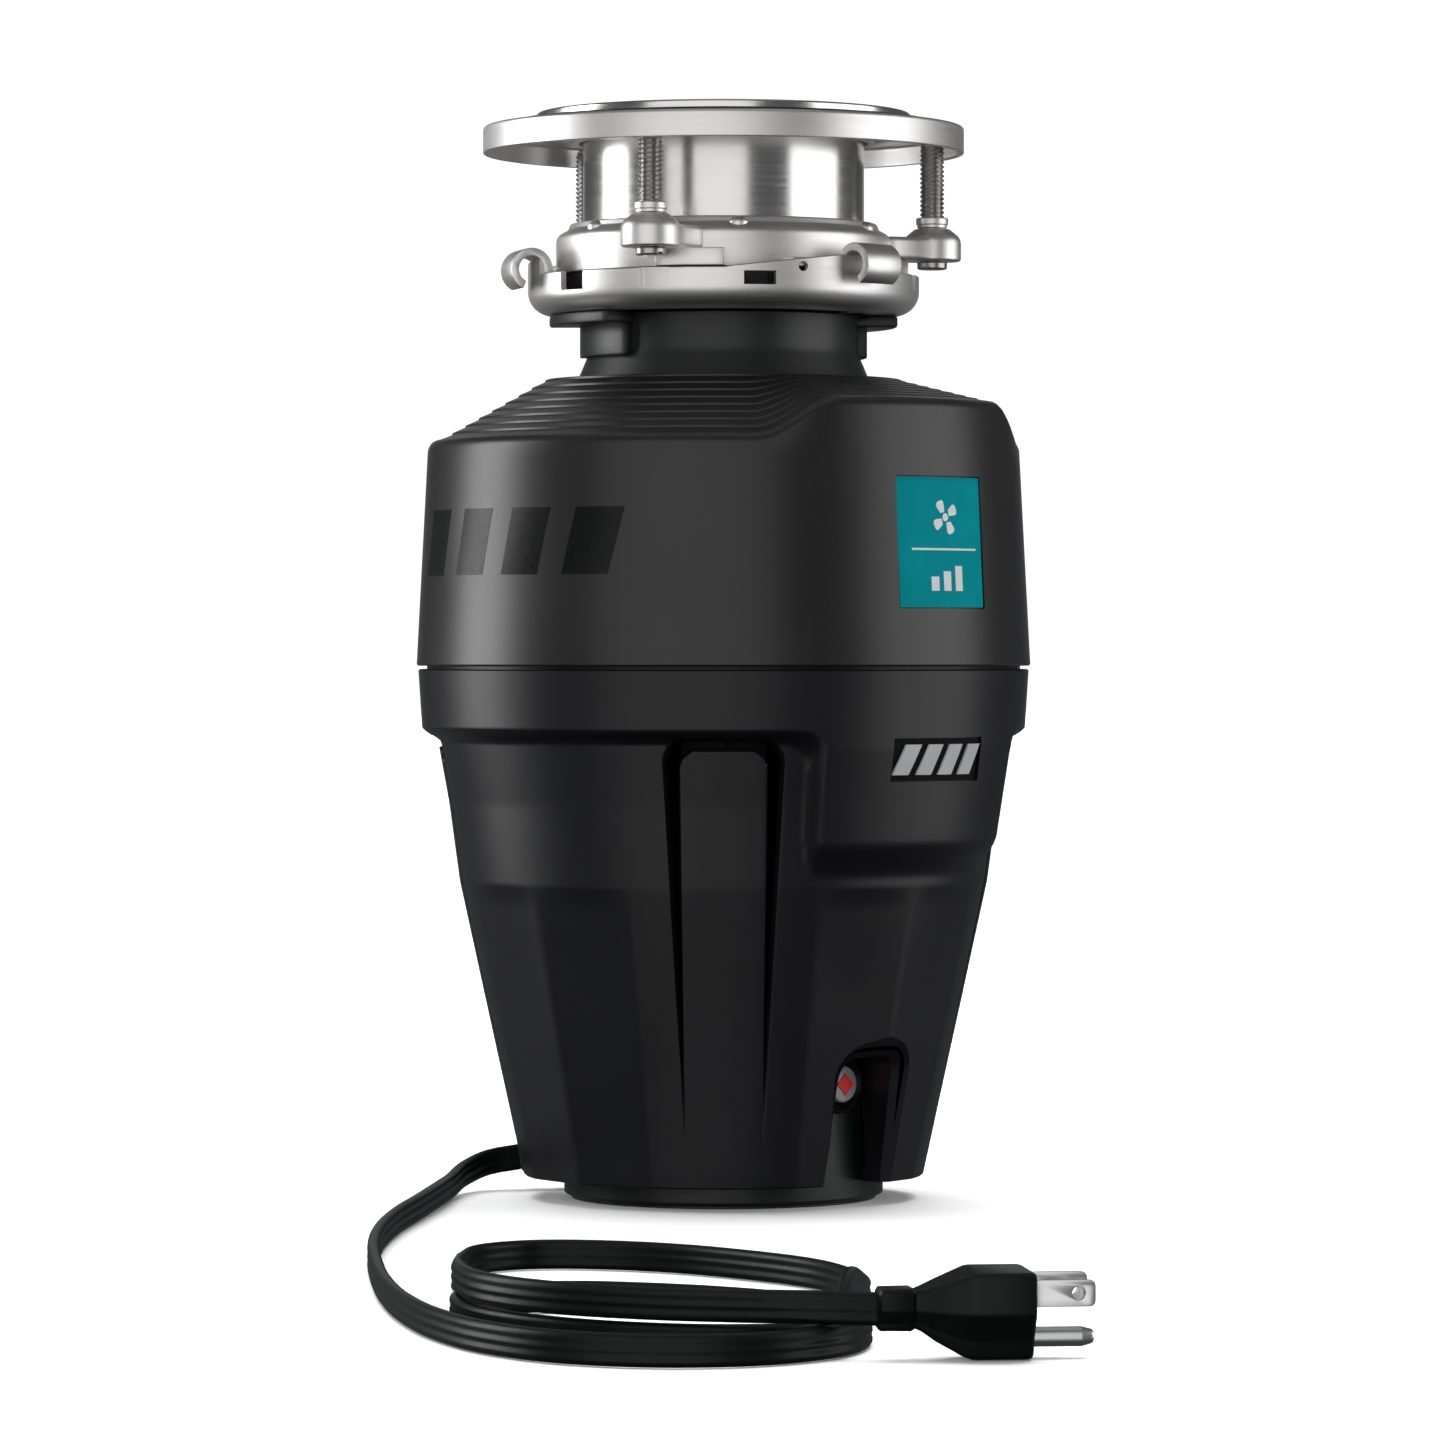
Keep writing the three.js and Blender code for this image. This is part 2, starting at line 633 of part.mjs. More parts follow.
function lowerShell() {
  const top = SEAM_Z - 0.5;
  const body = turned([...LOWER_PROFILE, [0, top], [0, SHELL_FOOT_Z]], FINE);
  const bulgeProfile = [[60, 99.8], [81.2, 99.8], [87.3, 110.7], [92.2, 139.6], [93, 150], [60, 150]];
  const bulge = common(turned(bulgeProfile, FINE), frontWedge(PANEL_HALF, 95, 155));
  const hollow = turned(
    [...inward(LOWER_PROFILE, WALL).slice(1), [91, top + 1], [0, top + 1], [0, 9.6], [59.4, 9.6]],
    FINE,
  );
  const bulgeHollow = common(
    turned([[60, 103], [79, 103], [84.7, 112], [89.6, 141], [60, 141]], FINE),
    frontWedge(PANEL_HALF - 2, 95, 155),
  );
  const footHole = disc(FOOT_R + 0.8, 0, 20, FINE);
  const resetNotch = block([-15, 15], [-70, -45], [0, 50]);
  const cordNotch = block([-26, 14], [45, 70], [0, 24]);
  const grooves = [45, 135, 225, 315].flatMap((a) =>
    [-15.9, 15.9].map((side) => pilasterGroove(side, a)),
  );
  const pocket = common(
    turned([[90.1, 120], [96, 120], [96, 150], [90.1, 150]], 96),
    block([-18.8, 18.8], [-110, -60], [128.2, 141.2]),
  );
  const shell = cut(
    join(body, bulge), hollow, bulgeHollow, footHole, resetNotch, cordNotch, pocket, ...grooves,
  );
  piece("lower_shell", shell, LOWER_PLASTIC);
  const plate = common(
    turned([[90.4, 120], [91.4, 120], [91.4, 150], [90.4, 150]], 96),
    block([-18.5, 18.5], [-110, -60], [128.5, 140.9]),
  );
  piece("nameplate", plate, LOWER_PLASTIC);
}

// One of the two shallow flutes beside a pilaster: it starts 1.2 deep and runs out towards the foot.
function pilasterGroove(side, angle) {
  const top = 139;
  const foot = 40;
  const lean = Math.atan2(86.4 - 66.5, top - foot);
  return block([0, 10], [-2.4, 2.4], [0, top - foot])
    .rotateY(lean)
    .translate(66.3, side, foot)
    .rotateZ(rad(angle));
}

// ---- mains lead ----
// Lead points lie on axes turned 45 degrees from the body: `across` runs from left-rear to right-front and
// `ahead` away from the body past its left-front pilaster. The flat lead stands on its edge.
const LEAD_WIDTH = 8;
const LEAD_THICK = 3.3;
const FLAT = 4.2; // height of the lead's middle where it stands on the floor
const OVER = 12.8; // and where it lies on another run
const LEAD_ROUTE = [
  [-63.5, -27.7, 10],
  [-72.5, -24.6, 8.6],
  [-79.5, -12, 6.2],
  [-83, 10, FLAT],
  [-85.5, 43, FLAT],
  [-89, 85, FLAT],
  [-93.5, 135, FLAT],
  [-95.5, 185, FLAT],
  [-94.5, 235, FLAT],
  [-91, 285, FLAT],
  [-86, 335, FLAT],
  [-79, 380, FLAT],
  [-69, 420, FLAT],
  [-56, 450, FLAT],
  [-38, 471, FLAT],
  [-14, 480, FLAT],
  [10, 475, FLAT],
  [27, 458, FLAT],
  [34, 434, FLAT],
  [31, 408, FLAT],
  [20, 385, FLAT],
  [2, 368, FLAT],
  [-18, 357, FLAT],
  [-38, 352, FLAT],
  [-55, 357, FLAT],
  [-65, 372, FLAT],
  [-65, 394, FLAT],
  [-57, 418, FLAT],
  [-40, 440, FLAT],
  [-18, 454, FLAT],
  [4, 458, FLAT],
  [19, 451, FLAT],
  [27, 433, 7.5],
  [30.5, 408, OVER],
  [34, 380, 9],
  [35.5, 350, 5],
  [33, 320, FLAT],
  [24, 292, FLAT],
  [6, 267, FLAT],
  [-14, 248, FLAT],
  [-35, 238, FLAT],
  [-52, 238, FLAT],
  [-65, 250, FLAT],
  [-69, 275, FLAT],
  [-69, 305, 4.8],
  [-67.5, 335, 8.4],
  [-65.5, 362, 12.4],
  [-65, 388, OVER],
  [-58, 418, OVER],
  [-41, 441, OVER],
  [-18, 455, OVER],
  [4, 461.5, OVER],
  [21, 462.6, 12.6],
  [35, 461.1, 12],
];
const PLUG_TURN = 6; // the plug points this far from `across`, back towards the body

const onFloorAxes = (across, ahead, z) =>
  new THREE.Vector3((across - ahead) * Math.SQRT1_2, -(across + ahead) * Math.SQRT1_2, z);

function mainsLead() {
  const relief = turned(
    [[0, GAP], [6.5, GAP], [6.5, 3], [5.4, 3.6], [4.6, 20], [0, 20]],
    SMALL,
  );
  const placed = alongX(relief).rotateZ(rad(CORD_HEADING)).translate(...CORD_EXIT);
  piece("cord_strain_relief", placed, RUBBER);

  const route = LEAD_ROUTE.map(([across, ahead, z]) => onFloorAxes(across, ahead, z));
  const curve = new THREE.CatmullRomCurve3(route, false, "centripetal");
  const section = new THREE.Shape();
  const [w, t] = [LEAD_WIDTH / 2, LEAD_THICK / 2];
  // The section's X becomes the upright direction along the route.
  const corners = [
    [-w + 1, -t], [w - 1, -t], [w, -t / 2], [w, t / 2], [w - 1, t], [-w + 1, t], [-w, t / 2], [-w, -t / 2],
  ];
  corners.forEach(([x, y], i) => (i ? section.lineTo(x, y) : section.moveTo(x, y)));
  const lead = new THREE.ExtrudeGeometry(section, { steps: 64, bevelEnabled: false, extrudePath: curve });
  piece("power_cord", lead, RUBBER);
}

// The plug is built along +X from the end of the lead, with its blades level and its ground pin below.
function plug() {
  const place = (geometry) => {
    const at = onFloorAxes(35.7, 461, 12);
    return geometry.rotateZ(rad(-45 + PLUG_TURN)).translate(at.x, at.y, at.z);
  };
  const collar = alongX(tube(0, 5.2, 0, 9, SMALL));
  const bodyFront = 37.6;
  const side = new THREE.Shape();
  [[7.5, -5], [24, -11.8], [bodyFront, -11.8], [bodyFront, 9.3], [23, 9.3], [7.5, 5]].forEach(([x, z], i) =>
    i ? side.lineTo(x, z) : side.moveTo(x, z),
  );
  const plan = new THREE.Shape();
  [[7, -5.2], [22.4, -12.8], [bodyFront + 1, -12.8], [bodyFront + 1, 12.8], [22.4, 12.8], [7, 5.2]].forEach(
    ([x, y], i) => (i ? plan.lineTo(x, y) : plan.moveTo(x, y)),
  );
  const section = new THREE.Shape();
  const half = [[12.6, 9.3], [12.6, -0.5], [8.5, -2], [7, -10], [4, -11.8]];
  const outline = [...half.map(([y, z]) => [-y, z]), ...half.reverse()];
  outline.forEach(([y, z], i) => (i ? section.lineTo(y, z) : section.moveTo(y, z)));
  const sideways = prism(side, -14, 14).rotateX(Math.PI / 2);
  const across = prism(section, 0, 60).rotateX(Math.PI / 2).rotateZ(Math.PI / 2);
  const body = common(common(sideways, prism(plan, -13, 13)), across);
  const bladeZ = 3.9;
  const groundZ = -6.9;
  const sockets = [
    block([bodyFront - 6, 60], [-7.4, -5.3], [bladeZ - 4.3, bladeZ + 4.3]),
    block([bodyFront - 6, 60], [5.3, 7.4], [bladeZ - 4.3, bladeZ + 4.3]),
    alongX(disc(2.7, bodyFront - 6, 60, 12)).translate(0, 0, groundZ),
  ];
  piece("plug_body", place(cut(join(collar, body), ...sockets)), RUBBER);
  const bladeTip = bodyFront + 15.9;
  [[-6.35, 6.35], [6.35, 7.9]].forEach(([y, width], i) => {
    const blade = block(
      [bodyFront - 5.5, bladeTip], [y - 0.75, y + 0.75], [bladeZ - width / 2, bladeZ + width / 2],
    );
    const hole = disc(1.6, -9, 9, 12).rotateX(Math.PI / 2).translate(bladeTip - 4, 0, bladeZ);
    piece("plug_blade_" + (i + 1), place(cut(blade, hole)), STAINLESS);
  });
  const root = bodyFront - 5.5;
  const tip = bodyFront + 16.6;
  const pin = turned([[0, root], [2.4, root], [2.4, tip - 1.6], [1.4, tip], [0, tip]], 12);
  piece("plug_ground_pin", place(alongX(pin).translate(0, 0, groundZ)), STAINLESS);
}

sinkMountTop();
mountingRing();
mountingScrews();
lowerMountRing();
splashGuard();
hopper();
grindSet();
shaftAndBearings();
housingScrews();
motorBody();
brushGear();
endBell();
resetButton();
upperShell();
lowerShell();
mainsLead();
plug();

export default part;
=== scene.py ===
import json
import math

import bmesh
import bpy
from mathutils import Matrix, Vector


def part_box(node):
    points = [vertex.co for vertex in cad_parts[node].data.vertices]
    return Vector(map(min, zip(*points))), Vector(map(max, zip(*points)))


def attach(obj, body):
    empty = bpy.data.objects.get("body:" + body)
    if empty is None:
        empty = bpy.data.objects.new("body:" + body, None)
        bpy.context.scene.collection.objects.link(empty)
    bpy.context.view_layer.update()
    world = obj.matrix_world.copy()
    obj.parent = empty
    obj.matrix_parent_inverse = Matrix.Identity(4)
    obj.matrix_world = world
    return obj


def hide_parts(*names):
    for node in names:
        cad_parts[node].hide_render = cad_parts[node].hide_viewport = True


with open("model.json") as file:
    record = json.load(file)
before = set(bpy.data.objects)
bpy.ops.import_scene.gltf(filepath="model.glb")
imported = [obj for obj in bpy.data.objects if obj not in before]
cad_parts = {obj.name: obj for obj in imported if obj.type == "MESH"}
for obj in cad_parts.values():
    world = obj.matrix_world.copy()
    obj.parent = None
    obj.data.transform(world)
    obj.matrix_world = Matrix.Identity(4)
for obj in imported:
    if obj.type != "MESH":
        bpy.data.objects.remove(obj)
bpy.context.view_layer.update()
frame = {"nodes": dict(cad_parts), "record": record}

# Lengths are in millimetres, but the camera's, the lights' and the floor's are in metres. Angles are in
# degrees from +X towards +Y, and the object's front faces -Y.
MM = 0.001
ROOT = "disposal"
DIAGONAL = math.sqrt(0.5)
AXIS_R = 0.001  # stands for the axis itself in an outline that is turned about it


def polar(radius, degrees):
    angle = math.radians(degrees)
    return radius * math.cos(angle), radius * math.sin(angle)


def frame_corner(node, end):
    """A CAD node's lowest (0) or highest (1) corner, in millimetres."""
    return [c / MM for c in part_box(node)[end]]


FOOT_Z = frame_corner("lower_shell", 0)[2]
SEAM_Z = frame_corner("upper_shell", 0)[2] - 0.5
CROWN_Z = 249.5
FOOT_R = frame_corner("motor_can", 1)[0]
SUPPORT_R = frame_corner("support_ring", 1)[0]
SUPPORT_TOP_Z = frame_corner("support_ring", 1)[2]
RIM_Z = frame_corner("sink_flange", 1)[2]
FLANGE_R = frame_corner("sink_flange", 1)[0]
FRONT = -90
REAR = 90
PILASTERS = (-135, -45, 45, 135)


# ---------------------------------------------------------------- camera, light and floor

def add_object(name, data):
    thing = bpy.data.objects.new(name, data)
    bpy.context.collection.objects.link(thing)
    return thing


def make_camera():
    """A long lens a little above the middle of the body, looking at its left-front pilaster."""
    distance = 2.0
    height = 0.1671
    data = bpy.data.cameras.new("camera")
    data.sensor_width = 36
    data.lens = 162.93
    data.shift_x = -0.0007
    data.shift_y = -0.0502
    data.clip_start = 0.05
    data.clip_end = 40
    camera = add_object("camera", data)
    camera.location = (-distance * DIAGONAL, -distance * DIAGONAL, height)
    camera.rotation_euler = (math.radians(90), 0, math.radians(-45))
    bpy.context.scene.camera = camera


def softbox(name, bearing, distance, height, width, tall, power, aim=0.16):
    """An area light at a bearing from the camera's own direction, positive to the right."""
    data = bpy.data.lights.new(name, "AREA")
    data.shape = "RECTANGLE"
    data.size = width
    data.size_y = tall
    data.energy = power
    lamp = add_object(name, data)
    lamp.location = (*polar(distance, -135 + bearing), height)
    towards = Vector((0, 0, aim)) - lamp.location
    lamp.rotation_euler = towards.to_track_quat("-Z", "Y").to_euler()
    lamp.visible_camera = False


# How bright the room is towards each height, from straight down (0) through level (0.5) to straight up (1).
ROOM_GLOW = ((0, 0.05), (0.16, 0.06), (0.28, 0.14), (0.42, 0.14), (0.5, 0.08), (0.8, 0.07), (1, 0.1))


def paint_ramp(ramp, stops):
    """Grey stops (place, brightness) on a colour ramp."""
    while len(ramp.elements) < len(stops):
        ramp.elements.new(1)
    for element, (place, brightness) in zip(ramp.elements, stops):
        element.position = place
        element.color = (brightness, brightness, brightness, 1)


def make_lights():
    """Five soft boxes, and a wide soft light from above that leaves no highlights."""
    softbox("left_box", -99, 1.3, 0.4, 0.6, 1.0, 10.7)
    softbox("right_box", 80, 1.3, 0.3, 1.2, 1.2, 7.6)
    softbox("front_box", -14, 1.75, 0.3, 2.3, 2.4, 15.6)
    softbox("rear_box", 180, 1.6, 0.6, 1.2, 1.2, 1.2)
    softbox("top_box", 0, 0.1, 1.7, 1.2, 1.2, 1.2)
    sky = bpy.data.lights.new("sky", "SUN")
    sky.energy = 4.8
    sky.angle = math.radians(70)
    lamp = add_object("sky", sky)
    lamp.rotation_euler = (math.radians(-13), math.radians(13), 0)
    lamp.visible_glossy = False


def make_world():
    """White paper for the camera, and for everything else a dim room that brightens below and above level."""
    world = bpy.data.worlds.new("studio")
    bpy.context.scene.world = world
    world.use_nodes = True
    nodes, links = world.node_tree.nodes, world.node_tree.links
    nodes.clear()
    out = nodes.new("ShaderNodeOutputWorld")
    mix = nodes.new("ShaderNodeMixShader")
    path = nodes.new("ShaderNodeLightPath")
    room = nodes.new("ShaderNodeBackground")
    room.inputs["Color"].default_value = (0.93, 0.96, 1.0, 1)
    split = nodes.new("ShaderNodeSeparateXYZ")
    glow = nodes.new("ShaderNodeValToRGB")
    paint_ramp(glow.color_ramp, ROOM_GLOW)
    links.new(nodes.new("ShaderNodeTexCoord").outputs["Generated"], split.inputs[0])
    lift = nodes.new("ShaderNodeMapRange")
    lift.inputs["From Min"].default_value = -1
    links.new(split.outputs["Z"], lift.inputs["Value"])
    links.new(lift.outputs["Result"], glow.inputs["Fac"])
    links.new(glow.outputs["Color"], room.inputs["Strength"])
    paper = nodes.new("ShaderNodeBackground")
    paper.inputs["Color"].default_value = (1, 1, 1, 1)
    paper.inputs["Strength"].default_value = 1.1
    links.new(path.outputs["Is Camera Ray"], mix.inputs[0])
    links.new(room.outputs[0], mix.inputs[1])
    links.new(paper.outputs[0], mix.inputs[2])
    links.new(mix.outputs[0], out.inputs["Surface"])
    bpy.context.scene.view_settings.view_transform = "Standard"


def make_floor():
    """Pale paper that takes the shadows and throws no light back on the object."""
    size = 12
    mesh = bpy.data.meshes.new("floor")
    corners = [(-size, -size, 0), (size, -size, 0), (size, size, 0), (-size, size, 0)]
    mesh.from_pydata(corners, [], [(0, 1, 2, 3)])
    floor = add_object("floor", mesh)
    paper = bpy.data.materials.new("paper_floor")
    paper.use_nodes = True
    shader = paper.node_tree.nodes["Principled BSDF"]
    shader.inputs["Base Color"].default_value = (0.93, 0.93, 0.93, 1)
    shader.inputs["Roughness"].default_value = 0.9
    shader.inputs["Specular IOR Level"].default_value = 0.1
    shader.inputs["Emission Color"].default_value = (1, 1, 1, 1)
    shader.inputs["Emission Strength"].default_value = 0.1
    mesh.materials.append(paper)
    floor.visible_glossy = False
    floor.visible_diffuse = False


# ---------------------------------------------------------------- mesh helpers

def add_piece(name, points, faces, look, crease=35, at=None):
    """A mesh object from points in millimetres, smooth but for edges sharper than crease degrees."""
    mesh = bpy.data.meshes.new(name)
    place = at or Matrix.Identity(4)
    mesh.from_pydata([(place @ Vector(p)) * MM for p in points], [], faces)
    work = bmesh.new()
    work.from_mesh(mesh)
    bmesh.ops.remove_doubles(work, verts=work.verts, dist=0.001 * MM)
    bmesh.ops.recalc_face_normals(work, faces=work.faces)
    work.to_mesh(mesh)
    work.free()
    mesh.materials.append(LOOKS[look])
    piece = add_object(name, mesh)
    smooth(piece, crease)
    return piece


def smooth(piece, crease=35):
    piece.data.shade_smooth()
    piece.data.set_sharp_from_angle(angle=math.radians(crease))


def stand_in(piece, body=ROOT, nodes=None):
    """Puts a finished piece on its body in place of the CAD nodes that it stands for."""
    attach(piece, body)
    if nodes:
        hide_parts(*nodes)
    return piece


def skin(rings, closed=True, loop=False, caps=False):
    """(points, faces) of a surface through rings of equal length. closed joins each ring's ends, and loop
    joins the last ring to the first."""
    count = len(rings[0])
    points = [p for ring in rings for p in ring]
    faces = []
    spans = len(rings) if loop else len(rings) - 1
    steps = count if closed else count - 1
    for i in range(spans):
        j = (i + 1) % len(rings)
        for k in range(steps):
            n = (k + 1) % count
            faces.append((i * count + k, i * count + n, j * count + n, j * count + k))
    if caps:
        last = (len(rings) - 1) * count
        faces.append(tuple(range(count)))
        faces.append(tuple(range(last, last + count)))
    return points, faces


def rounded(corners, steps=4, closed=True):
    """A 2-D outline with each corner (x, y, radius) turned into an arc."""
    out = []
    count = len(corners)
    for i, (x, y, *more) in enumerate(corners):
        radius = more[0] if more else 0
        ends = not closed and i in (0, count - 1)
        if radius <= 0 or ends:
            out.append((x, y))
            continue
        here = Vector((x, y))
        before = Vector(corners[i - 1][:2]) - here
        after = Vector(corners[(i + 1) % count][:2]) - here
        half = before.angle(after) / 2
        reach = min(radius / math.tan(half), before.length * 0.49, after.length * 0.49)
        start = here + before.normalized() * reach
        end = here + after.normalized() * reach
        for k in range(steps + 1):
            t = k / steps
            blend = start * (1 - t) ** 2 + here * 2 * t * (1 - t) + end * t * t
            out.append((blend.x, blend.y))
    return out


def ring_outline(radius, count, centre=(0, 0)):
    turns = [2 * math.pi * k / count for k in range(count)]
    return [(centre[0] + radius * math.cos(a), centre[1] + radius * math.sin(a)) for a in turns]


def rectangle(left, right, low, high):
    return [(left, low), (right, low), (right, high), (left, high)]


def rod(radius, low, high, low_round=0, high_round=0):
    """Corners of a round rod, to be turned about its axis."""
    return [(AXIS_R, low), (radius, low, low_round), (radius, high, high_round), (AXIS_R, high)]


def spin(profile, segments):
    """Rings of a profile of (radius, height) turned about Z."""
    return [[(x, y, z) for x, y in ring_outline(r, segments)] for r, z in profile]


def turned(name, corners, look, segments=96, steps=4, at=None, crease=35):
    """A solid of revolution. Corners are (radius, height, corner radius), closed on themselves."""
    profile = rounded(corners, steps)
    return add_piece(name, *skin(spin(profile, segments), loop=True), look, crease, at)


def prism(name, outline, low, high, look, at=None, bevel=0, segments=2):
    """An outline in the XY plane raised from low to high, with rounded edges where bevel is set."""
    rings = [[(x, y, z) for x, y in outline] for z in (low, high)]
    piece = add_piece(name, *skin(rings, caps=True), look, 35, at)
    if bevel:
        round_edges(piece, bevel, segments)
    return piece


def apply_modifiers(piece):
    """Writes the result of a piece's modifiers into its mesh."""
    graph = bpy.context.evaluated_depsgraph_get()
    done = bpy.data.meshes.new_from_object(piece.evaluated_get(graph))
    piece.modifiers.clear()
    piece.data = done


def round_edges(piece, radius, segments=2, crease=35):
    bevel = piece.modifiers.new("edges", "BEVEL")
    bevel.width = radius * MM
    bevel.segments = segments
    bevel.limit_method = "ANGLE"
    bevel.angle_limit = math.radians(crease)
    apply_modifiers(piece)
    smooth(piece, 40)


def combine(target, others, operation):
    """Joins other pieces to a piece (UNION) or cuts them out of it (DIFFERENCE), and deletes them."""
    for other in others:
        step = target.modifiers.new("boolean", "BOOLEAN")
        step.operation = operation
        step.solver = "EXACT"
        step.object = other
    apply_modifiers(target)
    for other in others:
        bpy.data.objects.remove(other)
    smooth(target)


def turn(degrees, axis="Z"):
    return Matrix.Rotation(math.radians(degrees), 4, axis)


def shift(x, y, z):
    return Matrix.Translation((x, y, z))


# ---------------------------------------------------------------- materials

LOOKS = {}


class Look:
    """A procedural material that is built up from a Principled shader."""

    def __init__(self, name, colour, roughness, metallic=0.0, specular=0.5):
        self.material = bpy.data.materials.new(name)
        self.material.use_nodes = True
        self.nodes = self.material.node_tree.nodes
        self.links = self.material.node_tree.links
        self.shader = self.nodes["Principled BSDF"]
        self.shader.inputs["Base Color"].default_value = (*colour, 1)
        self.shader.inputs["Roughness"].default_value = roughness
        self.shader.inputs["Metallic"].default_value = metallic
        self.shader.inputs["Specular IOR Level"].default_value = specular
        self.coordinates = self.nodes.new("ShaderNodeTexCoord").outputs["Object"]

    def noise(self, scale, detail=3.0, vector=None, rough=0.5):
        node = self.nodes.new("ShaderNodeTexNoise")
        node.inputs["Scale"].default_value = scale
        node.inputs["Detail"].default_value = detail
        node.inputs["Roughness"].default_value = rough
        self.links.new(vector or self.coordinates, node.inputs["Vector"])
        return node.outputs["Fac"]

    def ramp(self, value, low, high):
        """value, from 0 to 1, carried over to the range low to high."""
        node = self.nodes.new("ShaderNodeMapRange")
        node.inputs["From Min"].default_value = 0.3
        node.inputs["From Max"].default_value = 0.7
        node.inputs["To Min"].default_value = low
        node.inputs["To Max"].default_value = high
        self.links.new(value, node.inputs["Value"])
        return node.outputs["Result"]

    def roughness(self, value, low, high):
        self.links.new(self.ramp(value, low, high), self.shader.inputs["Roughness"])

    def colours(self, value, first, second):
        node = self.nodes.new("ShaderNodeMix")
        node.data_type = "RGBA"
        node.inputs["A"].default_value = (*first, 1)
        node.inputs["B"].default_value = (*second, 1)
        self.links.new(self.ramp(value, 0, 1), node.inputs["Factor"])
        self.links.new(node.outputs["Result"], self.shader.inputs["Base Color"])

    def bump(self, value, strength, depth):
        node = self.nodes.new("ShaderNodeBump")
        node.inputs["Strength"].default_value = strength
        node.inputs["Distance"].default_value = depth * MM
        self.links.new(value, node.inputs["Height"])
        last = self.shader.inputs["Normal"]
        if last.is_linked:
            self.links.new(last.links[0].from_socket, node.inputs["Normal"])
        self.links.new(node.outputs["Normal"], last)

    def stretched(self, x, y, z):
        """Object coordinates scaled unevenly, which draws noise out into streaks."""
        node = self.nodes.new("ShaderNodeMapping")
        node.inputs["Scale"].default_value = (x, y, z)
        self.links.new(self.coordinates, node.inputs["Vector"])
        return node.outputs["Vector"]


def moulded(name, colour, roughness, grain=2600, depth=0.035, specular=0.5):
    """Moulded plastic with a fine spark-eroded grain."""
    look = Look(name, colour, roughness, specular=specular)
    fine = look.noise(grain, 2)
    cloud = look.noise(35, 3)
    look.roughness(fine, roughness - 0.05, roughness + 0.06)
    lighter = [c * 1.14 for c in colour]
    darker = [c * 0.88 for c in colour]
    look.colours(cloud, darker, lighter)
    look.bump(fine, 0.35, depth)
    LOOKS[name] = look.material


def brushed(name, colour, roughness, streaks=(40, 40, 1400), depth=0.002):
    """Metal with fine tool marks drawn out along two axes."""
    look = Look(name, colour, roughness, metallic=1)
    marks = look.noise(1.0, 4, look.stretched(*streaks), 0.6)
    cloud = look.noise(60, 3)
    look.roughness(marks, roughness - 0.03, roughness + 0.04)
    look.colours(cloud, [c * 0.97 for c in colour], [min(1, c * 1.03) for c in colour])
    look.bump(marks, 0.12, depth)
    LOOKS[name] = look.material


def plain(name, colour, roughness, metallic=0.0, scale=400, depth=0.02, specular=0.5):
    """A working surface: faint cloudy colour over a light texture."""
    look = Look(name, colour, roughness, metallic, specular)
    texture = look.noise(scale, 4)
    look.roughness(texture, roughness * 0.85, min(1, roughness * 1.15))
    look.colours(look.noise(90, 3), [c * 0.93 for c in colour], [min(1, c * 1.05) for c in colour])
    look.bump(texture, 0.3, depth)
    LOOKS[name] = look.material


def make_looks():
    brushed("satin_nickel", (0.85, 0.835, 0.81), 0.42)
    brushed("bright_nickel", (0.78, 0.76, 0.735), 0.2)
    plain("dark_steel", (0.33, 0.31, 0.29), 0.34, 1.0, 900, 0.01)
    brushed("stainless", (0.74, 0.74, 0.75), 0.22)
    brushed("pin_steel", (0.78, 0.78, 0.77), 0.34)
    plain("aluminium", (0.6, 0.61, 0.62), 0.48, 1.0, 700, 0.03)
    plain("copper", (0.62, 0.3, 0.15), 0.35, 1.0, 500, 0.03)
    plain("brass", (0.72, 0.55, 0.25), 0.35, 1.0, 500, 0.01)
    plain("ferrite", (0.04, 0.04, 0.043), 0.6, 0.0, 900, 0.03)
    moulded("upper_plastic", (0.0125, 0.0122, 0.0132), 0.34, 2600, 0.035, 0.55)
    moulded("lower_plastic", (0.0082, 0.0083, 0.0104), 0.37, 2600, 0.03, 0.36)
    moulded("hopper_plastic", (0.013, 0.0145, 0.0138), 0.4, 1800, 0.05)
    moulded("black_paint", (0.012, 0.0135, 0.013), 0.42, 900, 0.03, 0.4)
    plain("rubber", (0.012, 0.012, 0.012), 0.6)
    moulded("lead_jacket", (0.0055, 0.0068, 0.0062), 0.38, 1500, 0.02, 0.2)
    plain("foam", (0.8, 0.8, 0.77), 0.9, 0.0, 300, 0.3)
    plain("teal", (0.0, 0.33, 0.38), 0.5, 0.0, 1200, 0.004, 0.03)
    plain("button_grey", (0.42, 0.43, 0.44), 0.35, 0.0, 1200, 0.005)
    plain("white_ink", (0.86, 0.87, 0.88), 0.4, 0.0, 1200, 0.004)
    plain("red_mark", (1.0, 0.035, 0.03), 0.4, 0.0, 1200, 0.004, 0.3)
    plain("thread_steel", (0.5, 0.48, 0.46), 0.32, 1.0, 900, 0.01)
    plain("gloss_black", (0.006, 0.0065, 0.0065), 0.3, 0.0, 900, 0.004, 0.2)
    plain("panel_black", (0.003, 0.003, 0.0032), 0.6, 0.0, 900, 0.004, 0.1)
    plain("silver_mark", (0.6, 0.62, 0.63), 0.42, 0.0, 1500, 0.006)


def dress_carried_nodes():
    """Every CAD node that stays in view or inside takes its slot's procedural material."""
    for entry in frame["record"]["subparts"]:
        node = frame["nodes"][entry["node"]]
        node.data.materials.clear()
        node.data.materials.append(LOOKS[entry["material_slot"]])


# ---------------------------------------------------------------- mains lead and plug

